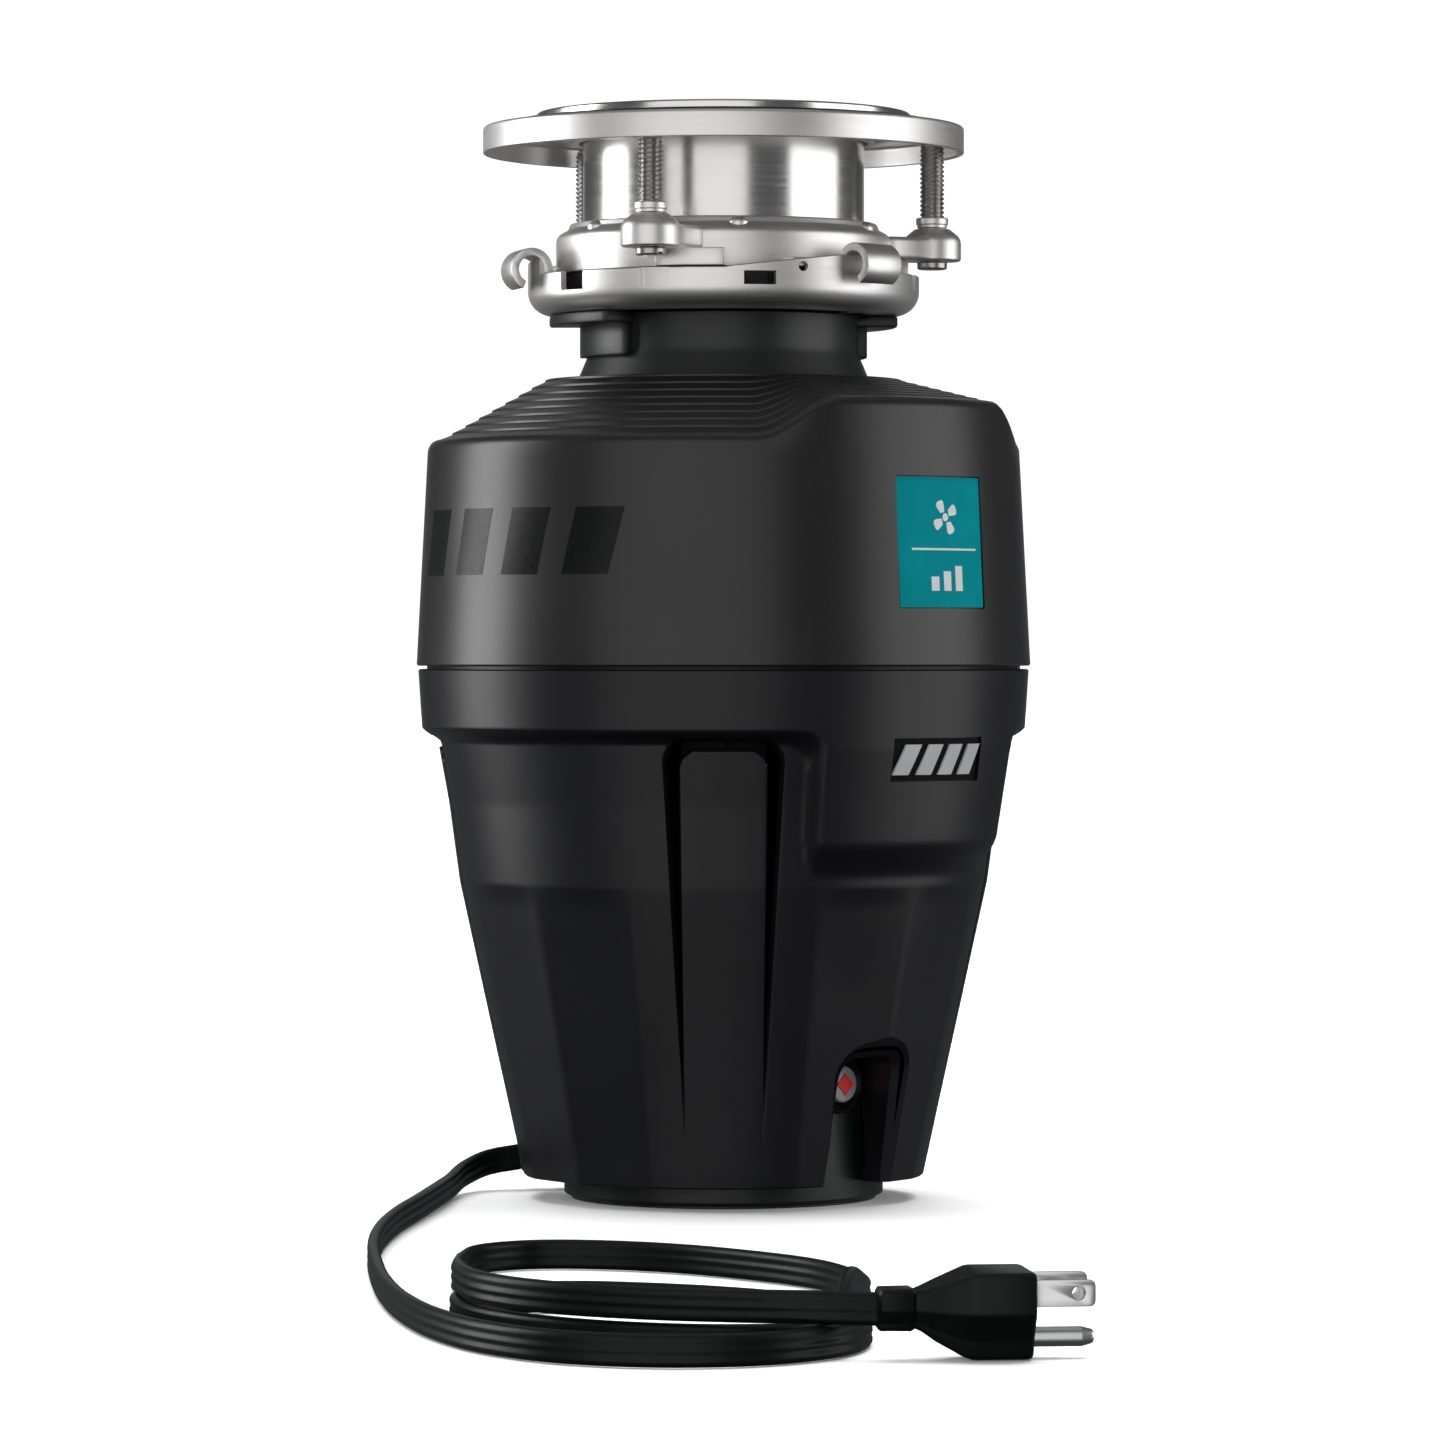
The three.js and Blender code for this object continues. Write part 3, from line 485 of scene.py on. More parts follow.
# Lead points lie on axes turned 45 degrees from the body: across runs from left-rear to right-front, and
# ahead away from the body past its left-front pilaster. The flat lead stands on its edge.
FLAT = 4.2
OVER = 12.8
LEAD_ROUTE = [
    (-63.5, -27.7, 10), (-72.5, -24.6, 8.6), (-79.5, -12, 6.2), (-83, 10, FLAT), (-85.5, 43, FLAT),
    (-89, 85, FLAT), (-93.5, 135, FLAT), (-95.5, 185, FLAT), (-94.5, 235, FLAT), (-91, 285, FLAT),
    (-86, 335, FLAT), (-79, 380, FLAT), (-69, 420, FLAT), (-56, 450, FLAT), (-38, 471, FLAT),
    (-14, 480, FLAT), (10, 475, FLAT), (27, 458, FLAT), (34, 434, FLAT), (31, 408, FLAT),
    (20, 385, FLAT), (2, 368, FLAT), (-18, 357, FLAT), (-38, 352, FLAT), (-55, 357, FLAT),
    (-65, 372, FLAT), (-65, 394, FLAT), (-57, 418, FLAT), (-40, 440, FLAT), (-18, 454, FLAT),
    (4, 458, FLAT), (19, 451, FLAT), (27, 433, 7.5), (30.5, 408, OVER), (34, 380, 9),
    (35.5, 350, 5), (33, 320, FLAT), (24, 292, FLAT), (6, 267, FLAT), (-14, 248, FLAT),
    (-35, 238, FLAT), (-52, 238, FLAT), (-65, 250, FLAT), (-69, 275, FLAT), (-69, 305, 4.8),
    (-67.5, 335, 8.4), (-65.5, 362, 12.4), (-65, 388, OVER), (-58, 418, OVER), (-41, 441, OVER),
    (-18, 455, OVER), (4, 461.5, OVER), (21, 462.6, 12.6), (36.5, 460.9, 12),
]
LEAD_WIDTH = 8
LEAD_BOSS_AT = (-7, 54)
LEAD_BOSS_Z = 10
LEAD_HEADING = 150
PLUG_AT = (35.7, 461, 12)
PLUG_TURN = 6
PLUG_LENGTH = 36.8
PLUG_HALF = 12.6
BLADES = ((-6.35, 6.35), (6.35, 7.9))
BLADE_REACH = 14.6
BLADE_Z = 3.9
GROUND_PIN_REACH = 15.2
GROUND_PIN_Z = -6.9


def on_floor_axes(across, ahead, z):
    return Vector(((across - ahead) * DIAGONAL, -(across + ahead) * DIAGONAL, z))


def curve_point(p, knots, t):
    """The point at t between p[1] and p[2], by blending four points pair by pair."""
    def between(a, b, i, j):
        return a.lerp(b, (t - knots[i]) / (knots[j] - knots[i]))
    first = [between(p[i], p[i + 1], i, i + 1) for i in range(3)]
    second = [between(first[i], first[i + 1], i, i + 2) for i in range(2)]
    return between(second[0], second[1], 1, 2)


def centripetal(points, step):
    """A centripetal Catmull-Rom curve through the points, sampled about every step."""
    ends = [points[0] * 2 - points[1]] + points + [points[-1] * 2 - points[-2]]
    out = []
    for i in range(len(points) - 1):
        p = ends[i:i + 4]
        knots = [0.0]
        for a, b in zip(p, p[1:]):
            knots.append(knots[-1] + math.sqrt((b - a).length))
        count = max(2, round((p[2] - p[1]).length / step))
        for k in range(count):
            out.append(curve_point(p, knots, knots[1] + (knots[2] - knots[1]) * k / count))
    out.append(points[-1])
    return out


def lead_section():
    """Three ribs side by side: (along the lead's width, across its thickness)."""
    rib = 1.66
    pitch = LEAD_WIDTH / 2 - rib
    outline = []
    for centre, start, end in ((pitch, -120, 120), (0, 62, 118), (-pitch, 60, 300), (0, 242, 298)):
        count = 10 if end - start > 100 else 4
        for k in range(count + 1):
            along_width, across = polar(rib, start + (end - start) * k / count)
            outline.append((centre + along_width, across))
    return outline


def mains_lead():
    """The lead along its route, always upright: (piece, centreline in metres, length in metres)."""
    route = centripetal([on_floor_axes(*p) for p in LEAD_ROUTE], 3)
    section = lead_section()
    rings = []
    for i, here in enumerate(route):
        ahead = (route[min(i + 1, len(route) - 1)] - route[max(i - 1, 0)]).normalized()
        upright = (Vector((0, 0, 1)) - ahead * ahead.z).normalized()
        side = upright.cross(ahead)
        rings.append([here + upright * w + side * t for w, t in section])
    lead = add_piece("mains_lead", *skin(rings, caps=True), "lead_jacket", 50)
    stand_in(lead, nodes=["power_cord"])
    length = sum((b - a).length for a, b in zip(route, route[1:])) * MM
    return lead, [p * MM for p in route], length


def strain_relief():
    """The tapered sleeve where the lead leaves the foot, with three grip rings."""
    at = shift(*LEAD_BOSS_AT, LEAD_BOSS_Z) @ turn(LEAD_HEADING) @ turn(90, "Y")
    corners = [(0, 0.3), (6.4, 0.3, 0.6), (6.4, 3, 0.6), (5.4, 3.6, 0.3)]
    for k in range(3):
        low = 6 + 4 * k
        width = 5.2 - 0.25 * k
        corners += [(width, low, 0.2), (width - 0.7, low + 0.5, 0.2), (width - 0.7, low + 1.6, 0.2),
                    (width - 0.1, low + 2.1, 0.2)]
    corners += [(4.5, 20, 0.6), (0, 20)]
    sleeve = turned("strain_relief", corners, "rubber", 48, at=at)
    return stand_in(sleeve, nodes=["cord_strain_relief"])


def plug_place():
    return Matrix.Translation(on_floor_axes(*PLUG_AT)) @ turn(PLUG_TURN - 45)


def plug_section(half, top, foot, waist, x):
    """One ring of the plug: flat on top, drawn in below towards the ground pin."""
    side = [(half, top, 1.6), (half, waist, 2.5), (half * 0.62, foot * 0.62, 2), (half * 0.5, foot, 1.8)]
    corners = [(-y, z, radius) for y, z, radius in side] + side[::-1]
    return [(x, y, z) for y, z in rounded(corners)]


def plug_body():
    """A collar with rounded ends, a flared neck and the moulded grip."""
    end = PLUG_LENGTH
    stations = (
        (0.4, 4.4, 4.4, -4.4), (1.0, 5.1, 5.1, -5.1), (8.2, 5.2, 5.2, -5.2), (8.8, 4.9, 4.9, -4.9),
        (9.2, 4.5, 4.6, -4.6), (10.6, 5.2, 5.0, -5.2), (14.0, 7.8, 6.2, -7.6), (20.2, 11.4, 8.4, -11.0),
        (22.2, 12.3, 9.1, -11.7), (23.4, PLUG_HALF, 9.3, -11.8), (end - 1.4, PLUG_HALF, 9.3, -11.8),
        (end - 0.4, 12.3, 9.0, -11.5), (end, 11.6, 8.4, -10.9),
    )
    rings = [plug_section(half, top, foot, -0.6 * half / PLUG_HALF, x) for x, half, top, foot in stations]
    body = add_piece("plug_grip", *skin(rings, caps=True), "lead_jacket", 42, plug_place())
    return stand_in(body, nodes=["plug_body"])


def plug_pins():
    """Two blades with a hole near the tip, and the round ground pin."""
    front = PLUG_LENGTH
    place = plug_place()
    look = "pin_steel"
    pins = []
    for i, (y, width) in enumerate(BLADES):
        tip = front + BLADE_REACH
        half = width / 2
        outline = rounded([(front - 1, -half), (tip, -half, 1.6), (tip, half, 1.6), (front - 1, half)])
        at = place @ shift(0, y, BLADE_Z) @ turn(90, "X")
        blade = prism(f"blade_{i + 1}", outline, -0.75, 0.75, look, at)
        hole = prism("hole", ring_outline(1.6, 24, (tip - 4, 0)), -3, 3, look, at)
        combine(blade, [hole], "DIFFERENCE")
        round_edges(blade, 0.2)
        pins.append(stand_in(blade, nodes=[f"plug_blade_{i + 1}"]))
    tip = front + GROUND_PIN_REACH
    corners = [(AXIS_R, front - 1), (2.4, front - 1), (2.4, tip - 3, 1.5), (1.6, tip, 1.6), (AXIS_R, tip)]
    at = place @ shift(0, 0, GROUND_PIN_Z) @ turn(90, "Y")
    pin = turned("ground_pin", corners, look, 32, at=at)
    pins.append(stand_in(pin, nodes=["plug_ground_pin"]))
    return pins


def lead_and_plug():
    lead, path, length = mains_lead()
    sleeve = strain_relief()
    grip = plug_body()
    pins = plug_pins()


# ---------------------------------------------------------------- trim shells

def mix(a, b, share):
    return a + (b - a) * share


def ease(value, low, high):
    """0 below low, 1 above high, and a smooth rise between."""
    t = min(1, max(0, (value - low) / (high - low)))
    return t * t * (3 - 2 * t)


def along(profile, height):
    """The radius at a height, by straight lines between the profile's (radius, height) points."""
    for (r0, z0), (r1, z1) in zip(profile, profile[1:]):
        if height <= z1:
            return mix(r0, r1, (height - z0) / (z1 - z0))
    return profile[-1][0]


def spaced(low, high, spacing):
    """Evenly spaced values from low up to, but not with, high."""
    count = max(1, round((high - low) / spacing))
    return [mix(low, high, k / count) for k in range(count)]


UPPER_FOOT_R = 93.8
SHOULDER_R = 90.2
SHOULDER_Z = 231
SHOULDER_ROUND = 3.2
PANEL_TOP_Z = 242
RISE_FROM = 38.8
RISE_TO = 22
TERRACES = 8
TERRACE_CROWN_R = 54.6
NECK_HOLE_R = 43.8
BADGE = ((-17.6, 19.1), (179.4, 218.6))
PORT_Z = 196
POCKET_DEPTH = 1.3


def upper_side(height):
    """Radius of the upper shell's side, in the general run and in the raised panel alike."""
    return mix(UPPER_FOOT_R, SHOULDER_R, (height - SEAM_Z) / (SHOULDER_Z - SEAM_Z))


def upper_profile(rise):
    """The upper shell as a closed loop of (radius, height), rise being the front panel's share."""
    shoulder = mix(SHOULDER_Z, PANEL_TOP_Z, rise)
    foot = SEAM_Z + 0.5
    (low, high) = BADGE[1]
    sides = [foot + 0.5, 168, low - 0.05, low, 185, 192, 199, 206, 213, high, high + 0.05, 224]
    sides.append(shoulder - SHOULDER_ROUND)
    loop = [(upper_side(foot) - 0.5, foot)] + [(upper_side(z), z) for z in sides]
    edge = upper_side(shoulder)
    for k in range(1, 6):
        a = math.radians(18 * k)
        r = edge - SHOULDER_ROUND * (1 - math.cos(a))
        loop.append((r, shoulder - SHOULDER_ROUND * (1 - math.sin(a))))
    start = loop[-1]
    rise_each = (CROWN_Z - shoulder) / TERRACES
    riser = rise_each * 0.38
    curl = min(0.42, riser * 0.45)
    for k in range(1, TERRACES + 1):
        r = mix(start[0], TERRACE_CROWN_R, k / TERRACES)
        z = shoulder + rise_each * k
        loop += [(r + 0.5, z - riser - 0.05), (r + 0.06, z - riser + 0.1), (r, z - curl)]
        loop += [(r - 0.12 * curl / 0.42, z - 0.3 * curl), (r - curl, z)]
    loop += [(NECK_HOLE_R + 0.6, CROWN_Z), (NECK_HOLE_R, CROWN_Z - 0.6), (NECK_HOLE_R, CROWN_Z - 3.4)]
    loop += [(TERRACE_CROWN_R, CROWN_Z - 3.4), (SHOULDER_R - 4, SHOULDER_Z - 5)]
    loop += [(SHOULDER_R - 2.6, SHOULDER_Z - 9), (UPPER_FOOT_R - 2.4, foot)]
    return loop


def upper_shell():
    """The upper shell: smooth side, S-shaped rise into the front panel, terraces and the badge's pocket."""
    (left, right), (low, high) = BADGE
    edges = [math.degrees(math.asin(x / upper_side(200))) for x in (left, right)]
    sharp = [edges[0] - 0.03, edges[0], edges[1], edges[1] + 0.03]
    angles = spaced(-RISE_FROM - 1, edges[0] - 0.03, 0.7) + sharp[:1] + spaced(edges[0], edges[1], 1)
    angles += sharp[2:] + spaced(edges[1] + 0.7, RISE_FROM + 1, 0.7)
    angles += spaced(RISE_FROM + 1, 359 - RISE_FROM, 2)
    columns = []
    for a in angles:
        offset = abs(a) if a < 180 else 360 - a
        rise = 1 - ease(offset, RISE_TO, RISE_FROM)
        sunk = edges[0] <= a <= edges[1]
        column = []
        for k, (r, z) in enumerate(upper_profile(rise)):
            if sunk and k < 14 and low <= z <= high:
                r -= POCKET_DEPTH
            column.append((*polar(r, FRONT + a), z))
        columns.append(column)
    shell = add_piece("upper_cover", *skin(columns, loop=True), "upper_plastic", 32)
    at = shift(0, 70, PORT_Z) @ turn(-90, "X")
    hole = prism("port", ring_outline(22.3, 64), 0, 40, "upper_plastic", at)
    combine(shell, [hole], "DIFFERENCE")
    smooth(shell, 32)
    stand_in(shell, nodes=["upper_shell"])


def on_front(x, radius, z):
    """The point at x and z on the front of a round surface."""
    return x, -math.sqrt(radius ** 2 - x * x), z


def wrapped(name, outline, surface, low, high, look, spacing=1.5):
    """A flat outline in (x, height) laid on the front of a shell, from low to high above its surface."""
    dense = []
    for (x0, z0), (x1, z1) in zip(outline, outline[1:] + outline[:1]):
        count = max(1, math.ceil(abs(x1 - x0) / spacing))
        dense += [(mix(x0, x1, k / count), mix(z0, z1, k / count)) for k in range(count)]
    rings = []
    for lift in (low, high):
        rings.append([on_front(x, surface(z) + lift, z) for x, z in dense])
    piece = add_piece(name, *skin(rings, caps=True), look)
    work = bmesh.new()
    work.from_mesh(piece.data)
    bmesh.ops.triangulate(work, faces=[f for f in work.faces if len(f.verts) > 4])
    work.to_mesh(piece.data)
    work.free()
    return piece


LOWER_SIDE = ((60.1, 3), (61, 7), (61.9, 11), (65.9, 29.5), (72.6, 60), (80.6, 96.8), (83.9, 121),
              (87.3, 139.6), (88.6, 150), (89.5, 162))
RAISED_SIDE = ((84.6, 99.8), (87.3, 110.7), (91.7, 138), (92.1, 143.5), (93.3, 162))
BAND_FOOT_Z = 139.4
BULGE_HALF = 28.7
BULGE_FOOT_Z = 99.8
WALL = 2.6
RIDGES = (20.6, 45)
FACET_TOP_Z = 97
RIDGE_HEIGHT = 0.8
FLUTE_INNER = ((11.4, 20), (12.8, 137.5))
FLUTE_OUTER = ((11.6, 20), (18.1, 133))
FLUTE_DEPTH = 3.2
DIMPLE_Z = 139.6
NAME_PANEL = (18.5, 128.5, 140.9)
NAME_POCKET_CLEAR = 0.3


def raised_side(height):
    return along(RAISED_SIDE, height)


def flute_edges(height):
    """Distances from a pilaster's middle to its groove's inner and outer edge."""
    return [mix(r0, r1, (height - z0) / (z1 - z0)) for (r0, z0), (r1, z1) in (FLUTE_INNER, FLUTE_OUTER)]


def box_distance(across, below, half, corner):
    """Signed distance to a bar of half width `half`, endless on one side, with rounded corners at its end.
    below is how far past the end the point is."""
    x = abs(across) - half + corner
    y = below + corner
    outside = math.hypot(max(x, 0), max(y, 0))
    return outside + min(max(x, y), 0) - corner


def flute_depth(across, height):
    """Depth of the groove that runs up both sides of a pilaster and over its top."""
    inner, outer = flute_edges(height)
    past_inner = box_distance(across, height - 137.5, inner, 5.5)
    before_outer = -box_distance(across, height - 141.2, outer, 8)
    inside = min(past_inner, before_outer)
    return FLUTE_DEPTH * ease(inside, -0.1, 1.25) * ease(height, 16, 80) ** 0.5


def raised_share(from_front, height):
    """0 on the body, 1 on the band round the top and on the bulge below it at the front."""
    to_band = (BAND_FOOT_Z - height) * 1.15
    arc = from_front * math.radians(88)
    to_bulge = box_distance(arc, (BULGE_FOOT_Z - height) * 0.5, BULGE_HALF * math.radians(88), 6)
    fillet = 9
    near = max(fillet - abs(to_band - to_bulge), 0) / fillet
    together = min(to_band, to_bulge) - near * near * fillet / 4
    straight = min(1, max(0, -together / 4.8))
    return mix(straight, ease(straight, 0, 1), 0.6)


def lower_radius(from_pilaster, from_front, height):
    """Outside radius of the lower shell at an angle from the nearest pilaster and from the front."""
    body = along(LOWER_SIDE, height)
    a = abs(from_pilaster)
    first, second = RIDGES
    slow = 1 - ease(height, FACET_TOP_Z - 34, FACET_TOP_Z + 1)
    quick = 1 - ease(height, FACET_TOP_Z - 5, FACET_TOP_Z)
    facet = mix(slow, quick, 0.5)
    if a > first:
        half = (second - first) / 2
        flat = math.cos(math.radians(half)) / math.cos(math.radians(a - first - half))
        body *= mix(1, flat, facet)
    share = raised_share(from_front, height)
    radius = mix(body, along(RAISED_SIDE, max(height, 99.9)), share)
    across = math.radians(a) * radius
    if across < 22:
        radius -= flute_depth(across, height) * (1 - share)
        dimple = math.hypot(across, (height - DIMPLE_Z) * 1.3)
        radius -= 0.8 * (1 - ease(dimple, 0.8, 2.4))
    return radius


def pilaster_columns(height):
    """Angles from a pilaster's middle that follow its groove's edges at this height."""
    radius = along(LOWER_SIDE, height)
    inner, outer = flute_edges(height)
    outer = min(max(outer, inner + 0.4), 18.6)
    to_degrees = math.degrees(1 / radius)
    inner *= to_degrees
    outer *= to_degrees
    first, second = RIDGES
    spans = ((0, inner - 5.5 * to_degrees, 3), (inner - 5.5 * to_degrees, inner, 8), (inner, outer, 10),
             (outer, outer + 1.2 * to_degrees, 2), (outer + 1.2 * to_degrees, 15.2, 2), (15.2, first, 8),
             (first, second, 16))
    out = []
    for low, high, count in spans:
        out += [mix(low, high, k / count) for k in range(count)]
    return out + [second]


def lower_rows():
    rows = [FOOT_Z, FOOT_Z + 0.5] + spaced(FOOT_Z + 1.5, 96, 3) + spaced(96, 118, 0.9) + spaced(118, 129, 1.2)
    return rows + spaced(129, 145, 0.55) + spaced(145, 160.3, 2) + [160.3, 160.9, SEAM_Z - 0.5]


def lower_outside():
    """The lower shell's outside as one closed solid."""
    rings = []
    for z in lower_rows():
        half = pilaster_columns(z)
        offsets = [-a for a in reversed(half[1:])] + half[:-1]
        trim = 0.5 if z in (FOOT_Z, SEAM_Z - 0.5) else 0.0
        ring = []
        for pilaster in PILASTERS:
            for offset in offsets:
                bearing = pilaster + offset
                from_front = abs((bearing - FRONT + 180) % 360 - 180)
                r = lower_radius(offset, from_front, z) - trim
                ring.append((*polar(r, bearing), z))
        rings.append(ring)
    return add_piece("lower_cover", *skin(rings, caps=True), "lower_plastic", 30)


def arch(left, right, left_foot, right_foot, top, corner, low=-6.0):
    """A notch's outline in (x, height): an arch whose legs lean outwards below."""
    return rounded([(left_foot, low), (left, top, corner + 2), (right, top, corner), (right_foot, low)], 10)


def notch_cutter(grow, inner, depth, reach):
    """A cutter for a notch in the front with a bevel that follows the shell's surface."""
    top = max(z for x, z in inner)
    rings = []
    clear = 100
    for out, lift in ((grow * 1.6, 0.6 * depth), (0.0, -depth)):
        ring = []
        for i, (x, z) in enumerate(inner):
            x0, z0 = inner[max(i - 1, 0)]
            x1, z1 = inner[min(i + 1, len(inner) - 1)]
            outward = Vector((z0 - z1, x1 - x0)).normalized()
            spread = out * mix(0.5, 1, ease(z, top - 26, top - 4))
            x2 = x + outward.x * spread
            z2 = z + outward.y * spread
            radius = along(LOWER_SIDE, max(z2, 4)) + lift - RIDGE_HEIGHT
            ring.append(on_front(x2, radius, z2))
        if not rings:
            rings.append([(x, -clear, z) for x, y, z in ring])
        rings.append(ring)
    rings.append([(x, -reach, z) for x, z in inner])
    return add_piece("cutter", *skin(rings, caps=True), "lower_plastic")


def lower_shell():
    """The lower shell: raised band and bulge, fluted pilasters, facets, and the notches at its foot."""
    shell = lower_outside()
    floor_z = FOOT_Z + WALL
    inside = [(AXIS_R, floor_z)] + [(r - WALL, max(z, floor_z)) for r, z in LOWER_SIDE[2:8]]
    inside += [(90.2, 146), (90.9, SEAM_Z + 2), (AXIS_R, SEAM_Z + 2)]
    look = "lower_plastic"
    hollow = turned("hollow", inside, look, 96, 1)
    inner = arch(-12.8, 8.2, -14.6, 10.6, 45.4, 5)
    jacket = arch(-14.8, 10.2, -17, 13, 47.4, 6)
    block = prism("block", jacket, 50.5, 75, look, turn(90, "X"))
    combine(hollow, [block], "DIFFERENCE")
    foot_hole = prism("foot_hole", ring_outline(FOOT_R + 0.8, 96), 0, 20, look)
    lead_arch = rounded([(-26, 0), (-26, 24, 5), (14, 24, 5), (14, 0)], 6)
    cord_notch = prism("cord_notch", lead_arch, -75, -40, look, turn(90, "X"))
    half, low, high = NAME_PANEL
    clear = NAME_POCKET_CLEAR
    pocket = rectangle(-half - clear, half + clear, low - clear, high + clear)
    plate = wrapped("plate_pocket", pocket, raised_side, -1.2, 2, look)
    cutters = [hollow, foot_hole, cord_notch, plate, notch_cutter(5.4, inner, 4.5, 45)]
    combine(shell, cutters, "DIFFERENCE")
    smooth(shell, 30)
    lip_corners = [(88.4, 158), (90.6, 158), (90.6, 165.5, 0.6), (88.4, 165.5, 0.6)]
    lip = turned("seam_lip", lip_corners, look, 128)
    stand_in(lip)
    stand_in(shell, nodes=["lower_shell"])


# ---------------------------------------------------------------- sink mount

SLEEVE_R = 43
SCREW_R = 65.3
SCREW_ANGLES = (-34.35, 85.65, 205.65)
EAR_ANGLES = (-90, 30, 150)
EAR_R = 61.8
EAR_Z = 282.3
SWIVEL_R = 59.8
MOUNT_R = 51.2
BOSS_FOOT_Z = 286.5
BOSS_TOP_Z = 296.5
SLEEVE_FOOT_Z = 284
MOUNT_FOOT_Z = 281.5
ARM_TOP_Z = 293.6
SCREW_HEAD_Z = 284
CUP_HOLE_R = 45
CUP_TOP_Z = 281
RAMP_TOP_Z = 285.2
RAMP_FROM = -44
RAMP_TO = -9
RAMP_END = 6.5
# Windows in the cup's wall, as (angle, span, foot, top), and one that only dents it.
CUP_WINDOWS = ((175.1, 10, 275.2, 284), (-124.5, 9.3, 275.7, 279.8), (-60, 4, 276, 284), (55, 5, 277, 284))
CUP_DENT = (-155.1, 8.8, 275.4, 284)
NECK_R = 41
LUG_ANGLES = (159, -25, 67)
INLET_Z = 258.5
INLET_BEARING = 45
PORT_R = 21
PORT_BORE_R = 18.3
NECK_TOP_Z = frame_corner("hopper", 1)[2]


def sector(inner, outer, at, span, spacing=3.0):
    """The outline of a piece of ring centred on the angle `at`."""
    count = max(2, round(span / spacing))
    sweep = [mix(at - span / 2, at + span / 2, k / count) for k in range(count + 1)]
    return [polar(outer, a) for a in sweep] + [polar(inner, a) for a in reversed(sweep)]


def sink_flange():
    """The sleeve with its snap ring groove and the flange's rolled rim."""
    inner = SLEEVE_R - 1.4
    top = SUPPORT_TOP_Z + 1.4
    groove = SLEEVE_R - 0.7
    corners = [(inner, SLEEVE_FOOT_Z, 0.5), (SLEEVE_R, SLEEVE_FOOT_Z, 0.5), (SLEEVE_R, 288.5, 0.2),
               (groove, 288.5, 0.2), (groove, 290.5, 0.2), (SLEEVE_R, 290.5, 0.2), (SLEEVE_R, top - 2, 3),
               (46.5, top, 2),
               (FLANGE_R, top, 0.5), (FLANGE_R, RIM_Z - 0.2, 0.9), (FLANGE_R - 1.4, RIM_Z, 0.8),
               (46, RIM_Z - 1.4, 3), (inner, RIM_Z - 5.5, 4)]
    look = "bright_nickel"
    stand_in(turned("flange", corners, look, 128, 6), nodes=["sink_flange"])


def support_ring():
    """The pressed ring under the sink: a flat plate, a deep outer rim and a short inner collar."""
    rim = SUPPORT_TOP_Z - 8.2
    collar = SLEEVE_R + 1.2
    thin = SUPPORT_TOP_Z - 1.6
    thick = SUPPORT_TOP_Z - 2.2
    inside = SUPPORT_R - 1.7
    corners = [(collar, SUPPORT_TOP_Z, 0.8), (collar, 321.5, 0.4), (collar + 1.6, 321.5, 0.4),
               (collar + 1.8, thin, 1.2), (56, thin, 1), (58, thick, 1), (inside, thick, 1.2),
               (inside, rim, 0.4), (SUPPORT_R, rim, 0.5), (SUPPORT_R, SUPPORT_TOP_Z, 1.3)]
    look = "satin_nickel"
    stand_in(turned("clamp_plate", corners, look, 160, 6), nodes=["support_ring"])


def mounting_ring():
    """The cast ring on the sleeve: a domed shoulder, three tapped arms and a skirt with its locking lugs."""
    look = "satin_nickel"
    corners = [(SLEEVE_R + 0.5, 291.5), (48.2, 291.5), (48.2, MOUNT_FOOT_Z), (MOUNT_R, MOUNT_FOOT_Z, 0.4),
               (MOUNT_R, 293.2, 5.5), (47.6, 295.1, 1.0), (46.9, 297, 0.8), (SLEEVE_R + 0.5, 297, 0.3)]
    ring = turned("cast_ring", corners, look, 128, 6)
    parts = []
    for angle in SCREW_ANGLES:
        at = turn(angle)
        side = [(MOUNT_R - 2.6, 11.5), (MOUNT_R + 1, 10.5), (SCREW_R - 7.5, 8.6), (SCREW_R, 8.6)]
        arm = [(x, -y) for x, y in side] + side[::-1]
        parts.append(prism("arm", arm, BOSS_FOOT_Z, ARM_TOP_Z, look, at, 1.6, 4))
        boss = [(AXIS_R, BOSS_FOOT_Z), (8.9, BOSS_FOOT_Z, 1), (8.9, ARM_TOP_Z, 4), (5.4, BOSS_TOP_Z, 1.2),
                (AXIS_R, BOSS_TOP_Z)]
        parts.append(turned("boss", boss, look, 48, 6, at @ shift(SCREW_R, 0, 0)))
        parts.append(prism("web", sector(50, 57.6, angle + 9, 21), MOUNT_FOOT_Z, 286.8, look, bevel=0.4))
    for ear in EAR_ANGLES:
        lug = sector(50.2, 57.2, ear - 16.5, 15)
        parts.append(prism("lug", lug, MOUNT_FOOT_Z, 284.2, look, bevel=0.5))
    for k in range(6):
        dimple = [(AXIS_R, 293), (3.1, 293), (3.1, 295.6, 1.6), (AXIS_R, 297.4, 1)]
        at = turn(-129.5 + 60 * k) @ shift(46.6, 0, 0)
        parts.append(turned("dimple", dimple, look, 32, 8, at))
    combine(ring, parts, "UNION")
    stand_in(ring, nodes=["mounting_ring"])


def thread_radius(height, angle):
    """Radius of a rounded vee thread at a height and an angle in turns."""
    pitch = 1.4
    phase = (height / pitch - angle) % 1
    return 3.0 + 0.85 * (1 - abs(2 * phase - 1)) ** 0.8


